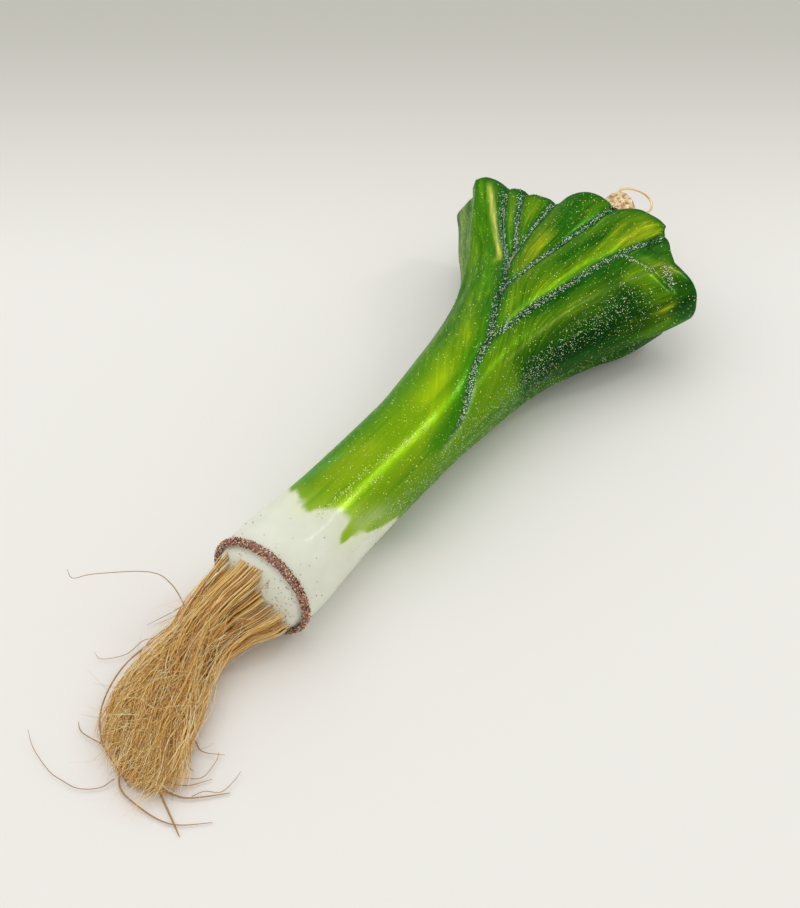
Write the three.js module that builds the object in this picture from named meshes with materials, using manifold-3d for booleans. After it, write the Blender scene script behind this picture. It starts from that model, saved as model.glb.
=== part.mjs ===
import * as THREE from 'three';
import { mergeVertices } from 'three/addons/utils/BufferGeometryUtils.js';
import Module from 'manifold-3d';

// A blown-glass hanging ornament in the shape of a leek, lying on its side. Millimetres.
// +X runs along the leek from the root tassel to the leaves and the hanging loop,
// +Z is up, and z = 0 is the surface that it lies on.
// The glass is drawn in its own frame: s along the axis from the base face, and an angle
// round the axis that starts at the +Y side and passes over the top at 90 degrees.

const ORIGIN_X = 59.37;
const ORIGIN_Y = 5.73;
const AXIS_HEIGHT = 11.95;
const AXIS_TILT = 1.82;

// Glass shaft: radius along the axis, and the sideways drift of the axis in the leaves.
const SHAFT_RADIUS = [[1.5, 11.6], [3.5, 11.95], [6, 12.1], [9, 12.1], [12, 11.9], [20, 11.3],
  [30, 10.9], [45, 10.8], [60, 10.9], [75, 11.2]];
const AXIS_DRIFT = [[55, 0], [84, 0.8], [96, 1.1], [113, 1.8], [123, 2.5], [132, 3.8], [138, 5.4]];
// Domed base face, from its middle out to the shaft: radius and s.
const BASE_FACE = [[0, -3.0], [3.5, -2.8], [6.5, -2.1], [9.4, -0.9], [11.1, 0.5]];

// Leaf fan: share of the full width and thickness reached along the axis.
const FAN_WIDTH = [[58, 0], [70, 0.02], [84, 0.065], [96, 0.14], [104, 0.26], [113, 0.44],
  [123, 0.71], [132, 0.9], [137, 1], [146, 1.08]];
const FAN_THICKNESS = [[58, 0], [70, 0.13], [84, 0.3], [96, 0.46], [113, 0.69], [137, 1], [146, 1.1]];
// Outline of the open end of the fan over the whole turn: angle and radius.
const FAN_OUTLINE = [[-4.4, 36.8], [2, 34], [10, 31.6], [17, 32.8], [21.5, 32.6], [26, 30.4],
  [31, 26.5], [40, 22.5], [55, 18.2], [75, 16.2], [90, 16], [105, 16.2], [120, 17.6],
  [135, 20.3], [150, 25.5], [162, 31.4], [169, 35.2], [174, 36.4], [180, 36.3], [185, 35.6],
  [189, 33], [194, 30], [201, 29.6], [206.3, 29.8], [212, 26.5], [220, 22], [235, 18], [255, 16.2], [270, 16],
  [285, 16.2], [300, 17.6], [315, 20.3], [330, 25.5], [342, 31], [351, 35.9], [355.6, 36.8]];
const TURN_START = -4.4;

// Grooves between the leaves: [s, angle], where each one begins, and how deep it gets.
// The far half of the leek has the same grooves, turned by 180 degrees.
const GROOVES = [
  { path: [[50, 162], [61.5, 151], [71, 126.8], [76.7, 114.2], [84.8, 104.5], [96, 80.5],
    [103.4, 69], [110.5, 54.5], [120.2, 37.5], [127.1, 32.5], [134.8, 30.8], [146, 30]],
  start: 52, full: 95, depth: 2.1 },
  { path: [[107, 64], [109.3, 60.3], [114, 54.2], [118, 50], [122.5, 45.8], [129.1, 41.2],
    [135, 39.5], [146, 39]], start: 107, full: 116, depth: 1.5 },
  { path: [[109, 57], [113, 55.5], [116, 54.5], [121.3, 56.5], [126.9, 58.8], [132.8, 62.8],
    [138, 70], [146, 78]], start: 112, full: 119, depth: 1.5 },
  { path: [[98, 74], [101, 75.2], [104.3, 76.5], [109.1, 82], [115.2, 87.8], [121.9, 94.8],
    [129.2, 103], [136.4, 112.3], [142.1, 117.8], [148, 121]], start: 99, full: 108, depth: 1.7 },
  { path: [[84, 108], [89.5, 109.5], [93.9, 111.5], [100.6, 117], [106.9, 123], [113.8, 128.5],
    [121.7, 133.8], [127.5, 139.2], [133.2, 144.2], [137, 149], [146, 156]],
  start: 85, full: 96, depth: 1.7 },
];
const GROOVE_REACH = 1.9;
const LEAF_SWELL = 0.7;
// Raised lines: the top edge of the side wall, and the midrib of the lowest leaf.
const RIDGES = [
  { path: [[88, 52], [97, 43.8], [104.5, 37.5], [110.7, 32], [117.2, 27.5], [124, 24], [134, 22],
    [146, 21.5]], start: 88, full: 104, height: 0.9, reach: 2.6 },
  { path: [[84.4, 136.5], [94.3, 138.2], [104.2, 141.5], [116, 148], [128.3, 155], [140, 162]],
    start: 84, full: 98, height: 0.55, reach: 1.6 },
];

// How far out each leaf ends, by angle over the whole turn.
const RIM = [[-4.4, 139.6], [4, 140.8], [10, 140.4], [15, 138.4], [19, 136.9], [22, 137.2], [25, 138.2],
  [27.6, 138], [30.8, 135.6],
  [33.5, 137.8], [37.5, 138], [41, 135.8], [48, 137.2], [58, 137.2], [64, 136.8], [70, 137],
  [74, 139.4], [78, 141.4], [83, 142.6], [92, 143.6], [102, 143.8], [112, 143.6], [118, 142.4],
  [122, 143.2], [128, 145], [135, 146], [142, 146], [149, 145.2], [154, 143.4], [158, 139.8],
  [162, 137], [168, 136.8], [175.6, 136.4], [182, 136.6], [192, 136.5], [206, 135.5],
  [211, 134.3], [216, 135.8], [221, 135], [228, 137], [238, 137], [249, 137], [258, 141.4],
  [272, 143.6], [292, 143.6], [298, 142.4], [308, 145], [315, 145.6], [329, 143.4], [336, 140],
  [342, 137.8], [349, 138.5], [355.6, 139.6]];
const RIM_FILLET = 1.9;
// Lowest leaf: its lip folds over, with a crease inside the fold and a step past its edge.
const LIP_CREASE = { s: 130.6, depth: 0.8, reach: 1.3, from: 144, to: 170 };
const LIP_STEP = { s: 135.2, depth: 1.3, from: 148, to: 163 };

// Glass neck under the cap, and the wall of the shell.
const NECK = { y: 6.0, radius: 3.4, start: 153, end: 160.8 };
// End face between the rim and the neck: shares of the way in, and how domed it is.
const END_FACE = { outside: [0.15, 0.35, 0.6, 0.82], inside: [0.35, 0.7], dome: 1.7 };
const RIM_BENDS = { outside: [0.35, 0.7, 1], inside: [1] };
const WALL = 1.2;
const WALL_IN_FAN = 3.0;
const WALL_IN_NECK = 0.9;
// Share of the wall that the inside stays behind the rim.
const WALL_AT_RIM = 0.6;
const MIN_INSIDE_HEIGHT = 1.0;

// Columns of the glass grid between the lines that it follows, over half a turn.
const COLUMNS = [4, 2, 3, 4, 6, 6, 7];
const GRID_LINES = [
  [[50, 124], [70, 62], [80, 34], [90, 8], [100, -4.4], [146, -4.4]],
  [[50, 146.5], [60, 132], [70, 104], [80, 78], [88, 56], [97, 43.8], [104.5, 37.5],
    [110.7, 32], [117.2, 27.5], [124, 24], [134, 22], [146, 21.5]],
  [[50, 162], [61.5, 151], [71, 126.8], [76.7, 114.2], [84.8, 104.5], [96, 80.5],
    [103.4, 69], [110.5, 54.5], [120.2, 37.5], [127.1, 32.5], [134.8, 30.8], [146, 30]],
  [[50, 178], [70, 140], [84, 114], [96, 90], [103, 76], [109.3, 62], [114, 54.2], [118, 50],
    [122.5, 45.8], [129.1, 41.2], [135, 39.5], [146, 39]],
  [[50, 200.5], [70, 152], [84, 124], [96, 100], [103, 86], [109.3, 71], [113, 62], [116, 58],
    [121.3, 57.5], [126.9, 59], [132.8, 62.8], [138, 70], [146, 78]],
  [[50, 232], [70, 170], [84, 136], [96, 110], [101, 99], [106, 91], [110, 88], [115.2, 89],
    [121.9, 94.8], [129.2, 103], [136.4, 112.3], [142.1, 117.8], [148, 121]],
  [[50, 263.5], [65, 206], [84, 150], [92, 130], [97, 122], [102, 120], [106.9, 123],
    [113.8, 128.5], [121.7, 133.8], [127.5, 139.2], [133.2, 144.2], [137, 149], [146, 156]],
];
const ROWS_OUTSIDE = [1.5, 3.5, 6, 9, 14, 22, 33, 44, 54, 62, 69, 76, 83, 89, 95,
  100, 105, 110, 115, 120, 124.5, 128, 130.6, 133, 135];
const ROWS_INSIDE = [1.5, 6, 14, 33, 54, 69, 83, 95, 105, 115, 124.5, 135];
const ROW_RIM = 137.4;
const RIM_FOLLOW_START = 116;

// Glitter ring round the edge of the base face: its section as radius and s, inner side first.
const RING_SECTION = [[11.45, 0.55], [11.9, 1.5], [12.05, 2.1], [12.45, 2.0], [12.65, 1.2],
  [12.4, 0.55], [11.9, 0.15]];
const RING_STEPS = 44;
const RING_OUTER_FIRST = 3;
const RING_LUMPS = { height: 0.1, waves: 7, swell: 3 };

// Gold cap over the neck, with two holes for the wire. Its profile outside and inside the wall
// is given as radius, s and depth of the folds.
const CAP = { top: 164, plate: 0.6, folds: 12, hole: 0.75, hole_offset: 2.0, hole_length: 4 };
const CAP_OUTSIDE = [[5.2, 155, 0.4], [4.7, 157.4, 0.24], [4.3, 159, 0], [4.4, 162.4, 0],
  [3.95, 163.3, 0], [2.58, 163.85, 0]];
const CAP_INSIDE = [[4.7, 155, 0.4], [4.2, 157.4, 0.24], [3.8, 159, 0], [3.8, 162.2, 0],
  [2.28, 163.25, 0]];
// Hanging loop of springy wire with two legs inside the neck, and its shape over the cap as
// height over the cap's top and distance across.
const WIRE = { radius: 0.33, turn: 29, leg_end: 155, leg_spread: 1.2, leg_twist: 0.3, top_gap: 1.2,
  steps: 44, sides: 8 };
const LOOP = [[0.4, 2.2], [1.3, 3.1], [3.0, 3.3], [5.4, 2.1], [7.2, 0.2], [8.3, -2.1],
  [8.0, -4.5], [6.4, -6.0], [4.2, -6.3], [2.2, -5.5], [1.0, -3.8], [0.4, -2.2]];

// Root tassel: cross-section along the bunch as x, middle y, middle z, half width, half height.
const TASSEL = [
  [-2, 1.5, 11.5, 9.2, 9.0],
  [-8, 4.0, 9.6, 8.9, 8.2],
  [-14, 5.6, 7.2, 9.0, 6.6],
  [-20, 4.8, 5.7, 10.8, 5.3],
  [-28, 2.0, 4.6, 12.6, 4.3],
  [-35, 0.1, 3.9, 12.4, 3.7],
  [-41, -2.8, 3.2, 9.6, 3.0],
  [-45.5, -6.0, 2.5, 6.6, 2.3],
  [-50, -8.6, 1.8, 3.6, 1.6],
];
const TASSEL_GAP = 0.4;
const FIBRE_RIDGES = 34;
const RIDGE_HEIGHT = 0.5;
const RIDGE_SHARE = [0.6, 1.5];
const RIDGE_SWAY = 0.9;
const BUNCH_SHARE = 0.86;
const BUNCH_END_SHARE = 0.55;
const BUNCH_STATIONS = [-5.5, -8, -11, -14, -17.5, -21, -25, -29, -33, -37, -41, -44];
const STRANDS = 26;
const STRAND_RADIUS = 0.6;
const STRAND_STEPS = 6;
const WISP_RADIUS = 0.45;
const FIBRE_TIP = 0.45;
// Each loose fibre: where it leaves the bunch, where it ends, and its way out to the surface
// as share of the length and share of the bunch's section.
const STRAND_LEAVES = [-26, -40];
const STRAND_ENDS = [-44, -53];
const STRAND_WAY = [[0, 0.45], [0.35, 0.75], [0.7, 0.98], [1, 1]];
const STRAND_CURL_X = [-3, 2.5];
const STRAND_CURL_Y = [-6, 2.5];
const TASSEL_SEED = 11;
// Long loose fibres that lie away from the bunch.
const WISPS = [
  [[-38, -6, 2.4], [-43.5, -11, 1.2], [-44, -15, 0.8], [-37.2, -22.7, 0.6]],
  [[-41, -5, 2.2], [-45.5, -12, 1.1], [-48.6, -17.7, 0.7], [-50.5, -21.2, 0.6]],
  [[-42, -2, 2.2], [-49, -8.5, 1.1], [-50.5, -15.8, 0.7], [-44.4, -24.3, 0.6]],
];

const rad = (degrees) => degrees * Math.PI / 180;
const mix = (a, b, t) => a + (b - a) * t;
const clamp01 = (t) => Math.min(1, Math.max(0, t));
const ease = (from, to, x) => {
  const t = clamp01((x - from) / (to - from));
  return t * t * (3 - 2 * t);
};

function seededRandom(seed) {
  let state = seed;
  return () => {
    state = (state * 1664525 + 1013904223) % 4294967296;
    return state / 4294967296;
  };
}

// Smooth curve through [x, y] points that never overshoots them, level past both ends.
function smoothCurve(points) {
  const last = points.length - 1;
  const secant = points.slice(1).map((p, i) => (p[1] - points[i][1]) / (p[0] - points[i][0]));
  const slope = points.map((p, i) => {
    if (i === 0) return secant[0];
    if (i === last) return secant[last - 1];
    const [before, after] = [secant[i - 1], secant[i]];
    return before * after <= 0 ? 0 : 2 * before * after / (before + after);
  });
  return (x) => {
    if (x <= points[0][0]) return points[0][1];
    if (x >= points[last][0]) return points[last][1];
    let i = 0;
    while (x > points[i + 1][0]) i += 1;
    const width = points[i + 1][0] - points[i][0];
    const t = (x - points[i][0]) / width;
    const t2 = t * t;
    const t3 = t2 * t;
    return points[i][1] * (2 * t3 - 3 * t2 + 1) + points[i + 1][1] * (3 * t2 - 2 * t3)
      + width * (slope[i] * (t3 - 2 * t2 + t) + slope[i + 1] * (t3 - t2));
  };
}

const shaftRadius = smoothCurve(SHAFT_RADIUS);
const axisDrift = smoothCurve(AXIS_DRIFT);
const fanWidth = smoothCurve(FAN_WIDTH);
const fanThickness = smoothCurve(FAN_THICKNESS);
const fanOutline = smoothCurve(FAN_OUTLINE);
const rimReach = smoothCurve(RIM);
const baseFace = smoothCurve(BASE_FACE);
const gridLines = GRID_LINES.map(smoothCurve);
const grooves = GROOVES.map((groove) => ({ ...groove, line: smoothCurve(groove.path) }));
const ridges = RIDGES.map((ridge) => ({ ...ridge, line: smoothCurve(ridge.path) }));

// The angle brought into the turn, or the half turn, that starts at the tables' first angle.
function wrap(angle, span, start = TURN_START) {
  const turned = (angle - start) % span;
  return (turned < 0 ? turned + span : turned) + start;
}

// Shortest distance in mm, over the surface, from a point to a line drawn on the leek.
function distanceToLine(line, s, angle, radius) {
  const turned = wrap(angle - line(s), 180, -90);
  const slant = radius * rad(line(s + 0.5) - line(s - 0.5));
  return Math.abs(radius * rad(turned)) / Math.hypot(1, slant);
}

// Smooth body of the leek without its grooves.
function bodyRadius(s, angle) {
  const across = Math.cos(rad(angle)) ** 2;
  const share = mix(fanThickness(s), fanWidth(s), across);
  const shaft = shaftRadius(s);
  return shaft + (fanOutline(wrap(angle, 360)) - shaft) * share;
}

// Height of the leaves, grooves, ridges and folded lip over the smooth body.
function relief(s, angle, radius) {
  let height = LEAF_SWELL * ease(80, 108, s);
  for (const groove of grooves) {
    const depth = groove.depth * ease(groove.start, groove.full, s);
    height -= depth * Math.exp(-distanceToLine(groove.line, s, angle, radius) / GROOVE_REACH);
  }
  for (const ridge of ridges) {
    const rise = ridge.height * ease(ridge.start, ridge.full, s);
    height += rise * Math.exp(-distanceToLine(ridge.line, s, angle, radius) / ridge.reach);
  }
  const turned = wrap(angle, 180);
  const inLip = ease(LIP_CREASE.from, LIP_CREASE.from + 4, turned)
    * (1 - ease(LIP_CREASE.to - 4, LIP_CREASE.to, turned));
  height -= LIP_CREASE.depth * inLip * Math.exp(-(((s - LIP_CREASE.s) / LIP_CREASE.reach) ** 2));
  const pastLip = ease(LIP_STEP.from, LIP_STEP.from + 2, turned)
    * (1 - ease(LIP_STEP.to - 3, LIP_STEP.to, turned));
  height -= LIP_STEP.depth * pastLip * ease(LIP_STEP.s - 0.8, LIP_STEP.s + 0.8, s);
  return height;
}

// From the leek's own frame to the frame of the part.
function toPart(s, y, z) {
  const tilt = rad(AXIS_TILT);
  return new THREE.Vector3(
    s * Math.cos(tilt) - z * Math.sin(tilt) - ORIGIN_X,
    y - ORIGIN_Y,
    AXIS_HEIGHT + s * Math.sin(tilt) + z * Math.cos(tilt));
}

// Angle of each column of the grid on the row at s.
function columnAngles(s) {
  const marks = gridLines.map((line) => line(s));
  marks.push(marks[0] + 180);
  const half = [];
  COLUMNS.forEach((count, sector) => {
    for (let i = 0; i < count; i += 1) half.push(mix(marks[sector], marks[sector + 1], i / count));
  });
  return [...half, ...half.map((angle) => angle + 180)];
}

// One face of the glass shell as rows of points. Depth is the offset below the outer face.
function glassRows(rows, columnStep, inside) {
  const result = [];
  const depth = (s) => (inside ? mix(WALL, WALL_IN_FAN, ease(75, 110, s)) : 0);
  const floor = inside ? MIN_INSIDE_HEIGHT : 0;
  const place = (s, y, z) => {
    const point = toPart(s, y, z);
    point.z = Math.max(point.z, floor);
    return point;
  };
  const pick = (angles) => angles.filter((_, i) => i % columnStep === 0);

  for (const [radius, s] of BASE_FACE.slice(1)) {
    const inner = Math.max(radius - depth(0), 0.5 * radius);
    result.push(pick(columnAngles(0)).map((angle) => place(s + depth(0),
      inner * Math.cos(rad(angle)), inner * Math.sin(rad(angle)))));
  }
  const surface = (s, angle) => {
    const body = bodyRadius(s, angle);
    return inside ? body - depth(s) : body + relief(s, angle, body);
  };
  for (const row of rows) {
    result.push(pick(columnAngles(row)).map((angle) => {
      const reach = rimReach(wrap(angle, 360)) - RIM_FILLET - depth(row) * WALL_AT_RIM;
      const s = row + (reach - ROWS_OUTSIDE.at(-1)) * ease(RIM_FOLLOW_START, ROWS_OUTSIDE.at(-1), row);
      const radius = surface(s, angle);
      return place(s, axisDrift(s) + radius * Math.cos(rad(angle)), radius * Math.sin(rad(angle)));
    }));
  }

  // Rounded rim, then the end face drawn in to the neck.
  const bends = inside ? RIM_BENDS.inside : RIM_BENDS.outside;
  const draws = inside ? END_FACE.inside : END_FACE.outside;
  const neckRadius = NECK.radius - (inside ? WALL_IN_NECK : 0);
  const rimAngles = pick(columnAngles(ROW_RIM));
  const rimPoint = (angle, bend) => {
    const reach = rimReach(wrap(angle, 360)) - depth(ROW_RIM) * WALL_AT_RIM;
    const start = reach - RIM_FILLET;
    const turn = bend * Math.PI / 2;
    const radius = surface(start, angle) - RIM_FILLET * (1 - Math.cos(turn));
    return [start + RIM_FILLET * Math.sin(turn), axisDrift(start) + radius * Math.cos(rad(angle)),
      radius * Math.sin(rad(angle))];
  };
  for (const bend of bends) {
    result.push(rimAngles.map((angle) => place(...rimPoint(angle, bend))));
  }
  const neckStart = NECK.start - (inside ? WALL_IN_NECK : 0);
  const neckPoint = (i, count, s) => {
    const angle = rad(TURN_START + 360 * i / count);
    return [s, NECK.y + neckRadius * Math.cos(angle), neckRadius * Math.sin(angle)];
  };
  for (const draw of draws) {
    result.push(rimAngles.map((angle, i) => {
      const rim = rimPoint(angle, 1);
      const neck = neckPoint(i, rimAngles.length, neckStart);
      return place(mix(rim[0], neck[0], draw ** END_FACE.dome), mix(rim[1], neck[1], draw),
        mix(rim[2], neck[2], draw));
    }));
  }
  for (const s of [neckStart, NECK.end]) {
    result.push(rimAngles.map((_, i) => place(...neckPoint(i, rimAngles.length, s))));
  }
  return result;
}

// Collects points and triangles for one closed body.
function meshBuilder() {
  const positions = [];
  const triangles = [];
  return {
    ring: (points) => points.map((p) => positions.push(p.x, p.y, p.z) / 3 - 1),
    triangle: (a, b, c) => triangles.push(a, b, c),
    geometry: () => {
      const geometry = new THREE.BufferGeometry();
      geometry.setAttribute('position', new THREE.Float32BufferAttribute(positions, 3));
      geometry.setIndex(triangles);
      return geometry;
    },
  };
}

function joinRings(mesh, a, b, flip = false) {
  for (let i = 0; i < a.length; i += 1) {
    const j = (i + 1) % a.length;
    const quad = flip ? [a[j], a[i], b[i], b[j]] : [a[i], a[j], b[j], b[i]];
    mesh.triangle(quad[0], quad[1], quad[2]);
    mesh.triangle(quad[0], quad[2], quad[3]);
  }
}

function closeRing(mesh, ring, apex, flip = false) {
  const [tip] = mesh.ring([apex]);
  for (let i = 0; i < ring.length; i += 1) {
    const j = (i + 1) % ring.length;
    if (flip) mesh.triangle(tip, ring[j], ring[i]);
    else mesh.triangle(tip, ring[i], ring[j]);
  }
}

// The glass shell: outer and inner face, joined at the lip of the neck.
function glassLeek() {
  const mesh = meshBuilder();
  const outer = glassRows(ROWS_OUTSIDE, 1, false).map(mesh.ring);
  const inner = glassRows(ROWS_INSIDE, 2, true).map(mesh.ring);
  closeRing(mesh, outer[0], toPart(BASE_FACE[0][1], 0, 0), true);
  closeRing(mesh, inner[0], toPart(BASE_FACE[0][1] + WALL, 0, 0));
  for (let i = 1; i < outer.length; i += 1) joinRings(mesh, outer[i - 1], outer[i]);
  for (let i = 1; i < inner.length; i += 1) joinRings(mesh, inner[i - 1], inner[i], true);
  const [lipOut, lipIn] = [outer.at(-1), inner.at(-1)];
  lipIn.forEach((point, i) => {
    const next = lipIn[(i + 1) % lipIn.length];
    const [a, b, c] = [lipOut[2 * i], lipOut[2 * i + 1], lipOut[(2 * i + 2) % lipOut.length]];
    mesh.triangle(point, a, b);
    mesh.triangle(point, b, next);
    mesh.triangle(next, b, c);
  });
  return mesh.geometry();
}

// A band of glitter that hugs the edge of the glass, flat where it rests on the surface.
function glitterRing() {
  const mesh = meshBuilder();
  const rings = [];
  for (let i = 0; i < RING_STEPS; i += 1) {
    const angle = 2 * Math.PI * i / RING_STEPS;
    const lump = RING_LUMPS.height * Math.sin(RING_LUMPS.waves * angle)
      * Math.cos(RING_LUMPS.swell * angle);
    rings.push(mesh.ring(RING_SECTION.map(([middle, s], k) => {
      const radius = middle + (k < RING_OUTER_FIRST ? 0 : lump);
      const point = toPart(s, radius * Math.cos(angle), radius * Math.sin(angle));
      point.z = Math.max(point.z, 0);
      return point;
    }).reverse()));
  }
  rings.forEach((ring, i) => joinRings(mesh, ring, rings[(i + 1) % RING_STEPS], true));
  return mesh.geometry();
}

// Manifold solids, used to cut the holes in the cap and to fuse the tassel.
const manifold = await Module();
manifold.setup();

function toSolid(geometry) {
  const bare = geometry.clone();
  for (const name of ['normal', 'uv']) bare.deleteAttribute(name);
  const merged = mergeVertices(bare, 1e-4);
  return new manifold.Manifold(new manifold.Mesh({
    numProp: 3,
    vertProperties: new Float32Array(merged.attributes.position.array),
    triVerts: new Uint32Array(merged.index.array),
  }));
}

function fromSolid(solid) {
  const { vertProperties, triVerts } = solid.getMesh();
  const geometry = new THREE.BufferGeometry();
  geometry.setAttribute('position', new THREE.Float32BufferAttribute(vertProperties, 3));
  geometry.setIndex(new THREE.Uint32BufferAttribute(triVerts, 1));
  return geometry;
}

// The largest connected surface of a geometry. It fills hollows that the fibres closed off
// and drops loose scraps.
function largestBody(geometry) {
  const index = geometry.index.array;
  const group = Array.from({ length: geometry.attributes.position.count }, (_, i) => i);
  const find = (i) => {
    let root = i;
    while (group[root] !== root) root = group[root];
    while (group[i] !== root) [group[i], i] = [root, group[i]];
    return root;
  };
  for (let i = 0; i < index.length; i += 3) {
    group[find(index[i + 1])] = find(index[i]);
    group[find(index[i + 2])] = find(index[i]);
  }
  const size = new Map();
  for (let i = 0; i < index.length; i += 3) {
    const root = find(index[i]);
    size.set(root, (size.get(root) ?? 0) + 1);
  }
  const largest = [...size.entries()].sort((a, b) => b[1] - a[1])[0][0];
  const kept = [];
  for (let i = 0; i < index.length; i += 3) {
    if (find(index[i]) === largest) kept.push(index[i], index[i + 1], index[i + 2]);
  }
  geometry.setIndex(kept);
  return geometry;
}

// A point beside the neck axis: s along it, and two distances in the plane of the loop
// and across it.
function nearNeck(s, inPlane, across) {
  const turn = rad(WIRE.turn);
  return toPart(s, NECK.y + inPlane * Math.cos(turn) - across * Math.sin(turn),
    inPlane * Math.sin(turn) + across * Math.cos(turn));
}

// A pressed cap: folded skirt, groove, straight wall and slightly domed top.
function hangingCap() {
  const mesh = meshBuilder();
  const around = CAP.folds * 3;
  const foldAt = (i) => Math.cos(2 * Math.PI * CAP.folds * i / around);
  const ring = (radius, s, fold) => mesh.ring(Array.from({ length: around }, (_, i) => {
    const angle = 2 * Math.PI * i / around;
    const r = radius + fold * foldAt(i);
    return nearNeck(s, r * Math.cos(angle), r * Math.sin(angle));
  }));
  const outer = CAP_OUTSIDE.map((args) => ring(...args));
  const inner = CAP_INSIDE.map((args) => ring(...args));
  for (let i = 1; i < outer.length; i += 1) joinRings(mesh, outer[i - 1], outer[i]);
  for (let i = 1; i < inner.length; i += 1) joinRings(mesh, inner[i - 1], inner[i], true);
  joinRings(mesh, outer[0], inner[0], true);
  closeRing(mesh, outer.at(-1), nearNeck(CAP.top, 0, 0));
  closeRing(mesh, inner.at(-1), nearNeck(CAP.top - CAP.plate, 0, 0), true);
  let solid = toSolid(mesh.geometry());
  for (const side of [-1, 1]) {
    const hole = new THREE.CylinderGeometry(CAP.hole, CAP.hole, CAP.hole_length, 16);
    const axis = toPart(1, 0, 0).sub(toPart(0, 0, 0)).normalize();
    hole.applyQuaternion(new THREE.Quaternion().setFromUnitVectors(new THREE.Vector3(0, 1, 0), axis));
    const middle = nearNeck(CAP.top - 0.8, side * CAP.hole_offset, 0);
    hole.translate(middle.x, middle.y, middle.z);
    solid = solid.subtract(toSolid(hole));
  }
  return fromSolid(solid);
}

// A round wire bent into a loop, its two legs passing through the cap into the neck.
function hangingLoop() {
  const side = CAP.hole_offset;
  const halfway = mix(WIRE.leg_end, CAP.top, 0.5);
  const points = [
    nearNeck(WIRE.leg_end, WIRE.leg_spread, -WIRE.leg_twist),
    nearNeck(halfway, mix(WIRE.leg_spread, side, 0.6), -WIRE.leg_twist / 2),
    nearNeck(CAP.top - WIRE.top_gap, side, 0),
    ...LOOP.map(([height, across]) => nearNeck(CAP.top + height, across, 0)),
    nearNeck(CAP.top - WIRE.top_gap, -side, 0),
    nearNeck(halfway, -mix(WIRE.leg_spread, side, 0.6), WIRE.leg_twist / 2),
    nearNeck(WIRE.leg_end, -WIRE.leg_spread, WIRE.leg_twist),
  ];
  const section = new THREE.Shape();
  section.absarc(0, 0, WIRE.radius, 0, 2 * Math.PI);
  return new THREE.ExtrudeGeometry(section, {
    steps: WIRE.steps, curveSegments: WIRE.sides, bevelEnabled: false,
    extrudePath: new THREE.CatmullRomCurve3(points, false, 'centripetal'),
  });
}

const tasselShape = [1, 2, 3, 4].map((column) => smoothCurve(
  TASSEL.map((row) => [-row[0], row[column]])));

// A point of the bunch at x, by its place in the oval cross-section.
function inTassel(x, share, angle) {
  const [y, z, width, height] = tasselShape.map((curve) => curve(-x));
  return new THREE.Vector3(x - ORIGIN_X, y - ORIGIN_Y + width * share * Math.cos(angle),
    z + height * share * Math.sin(angle));
}

// A tapered three-sided fibre through the given points.
function fibre(points, radius) {
  const mesh = meshBuilder();
  const curve = new THREE.CatmullRomCurve3(points, false, 'centripetal');
  const rings = [];
  for (let i = 0; i <= STRAND_STEPS; i += 1) {
    const t = i / STRAND_STEPS;
    const along = curve.getTangentAt(t);
    const side = new THREE.Vector3(0, 0, 1).cross(along).normalize();
    const up = along.clone().cross(side);
    const size = radius * mix(1, FIBRE_TIP, t ** 3);
    const middle = curve.getPointAt(t);
    rings.push(mesh.ring([0, 1, 2].map((k) => {
      const turn = 2 * Math.PI * k / 3 + Math.PI / 6;
      const corner = middle.clone().addScaledVector(side, size * Math.cos(turn))
        .addScaledVector(up, size * Math.sin(turn));
      corner.z = Math.max(corner.z, 0);
      return corner;
    })));
  }
  for (let i = 1; i < rings.length; i += 1) joinRings(mesh, rings[i - 1], rings[i]);
  const [first, last] = [rings[0], rings.at(-1)];
  mesh.triangle(first[0], first[2], first[1]);
  mesh.triangle(last[0], last[1], last[2]);
  return mesh.geometry();
}

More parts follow.
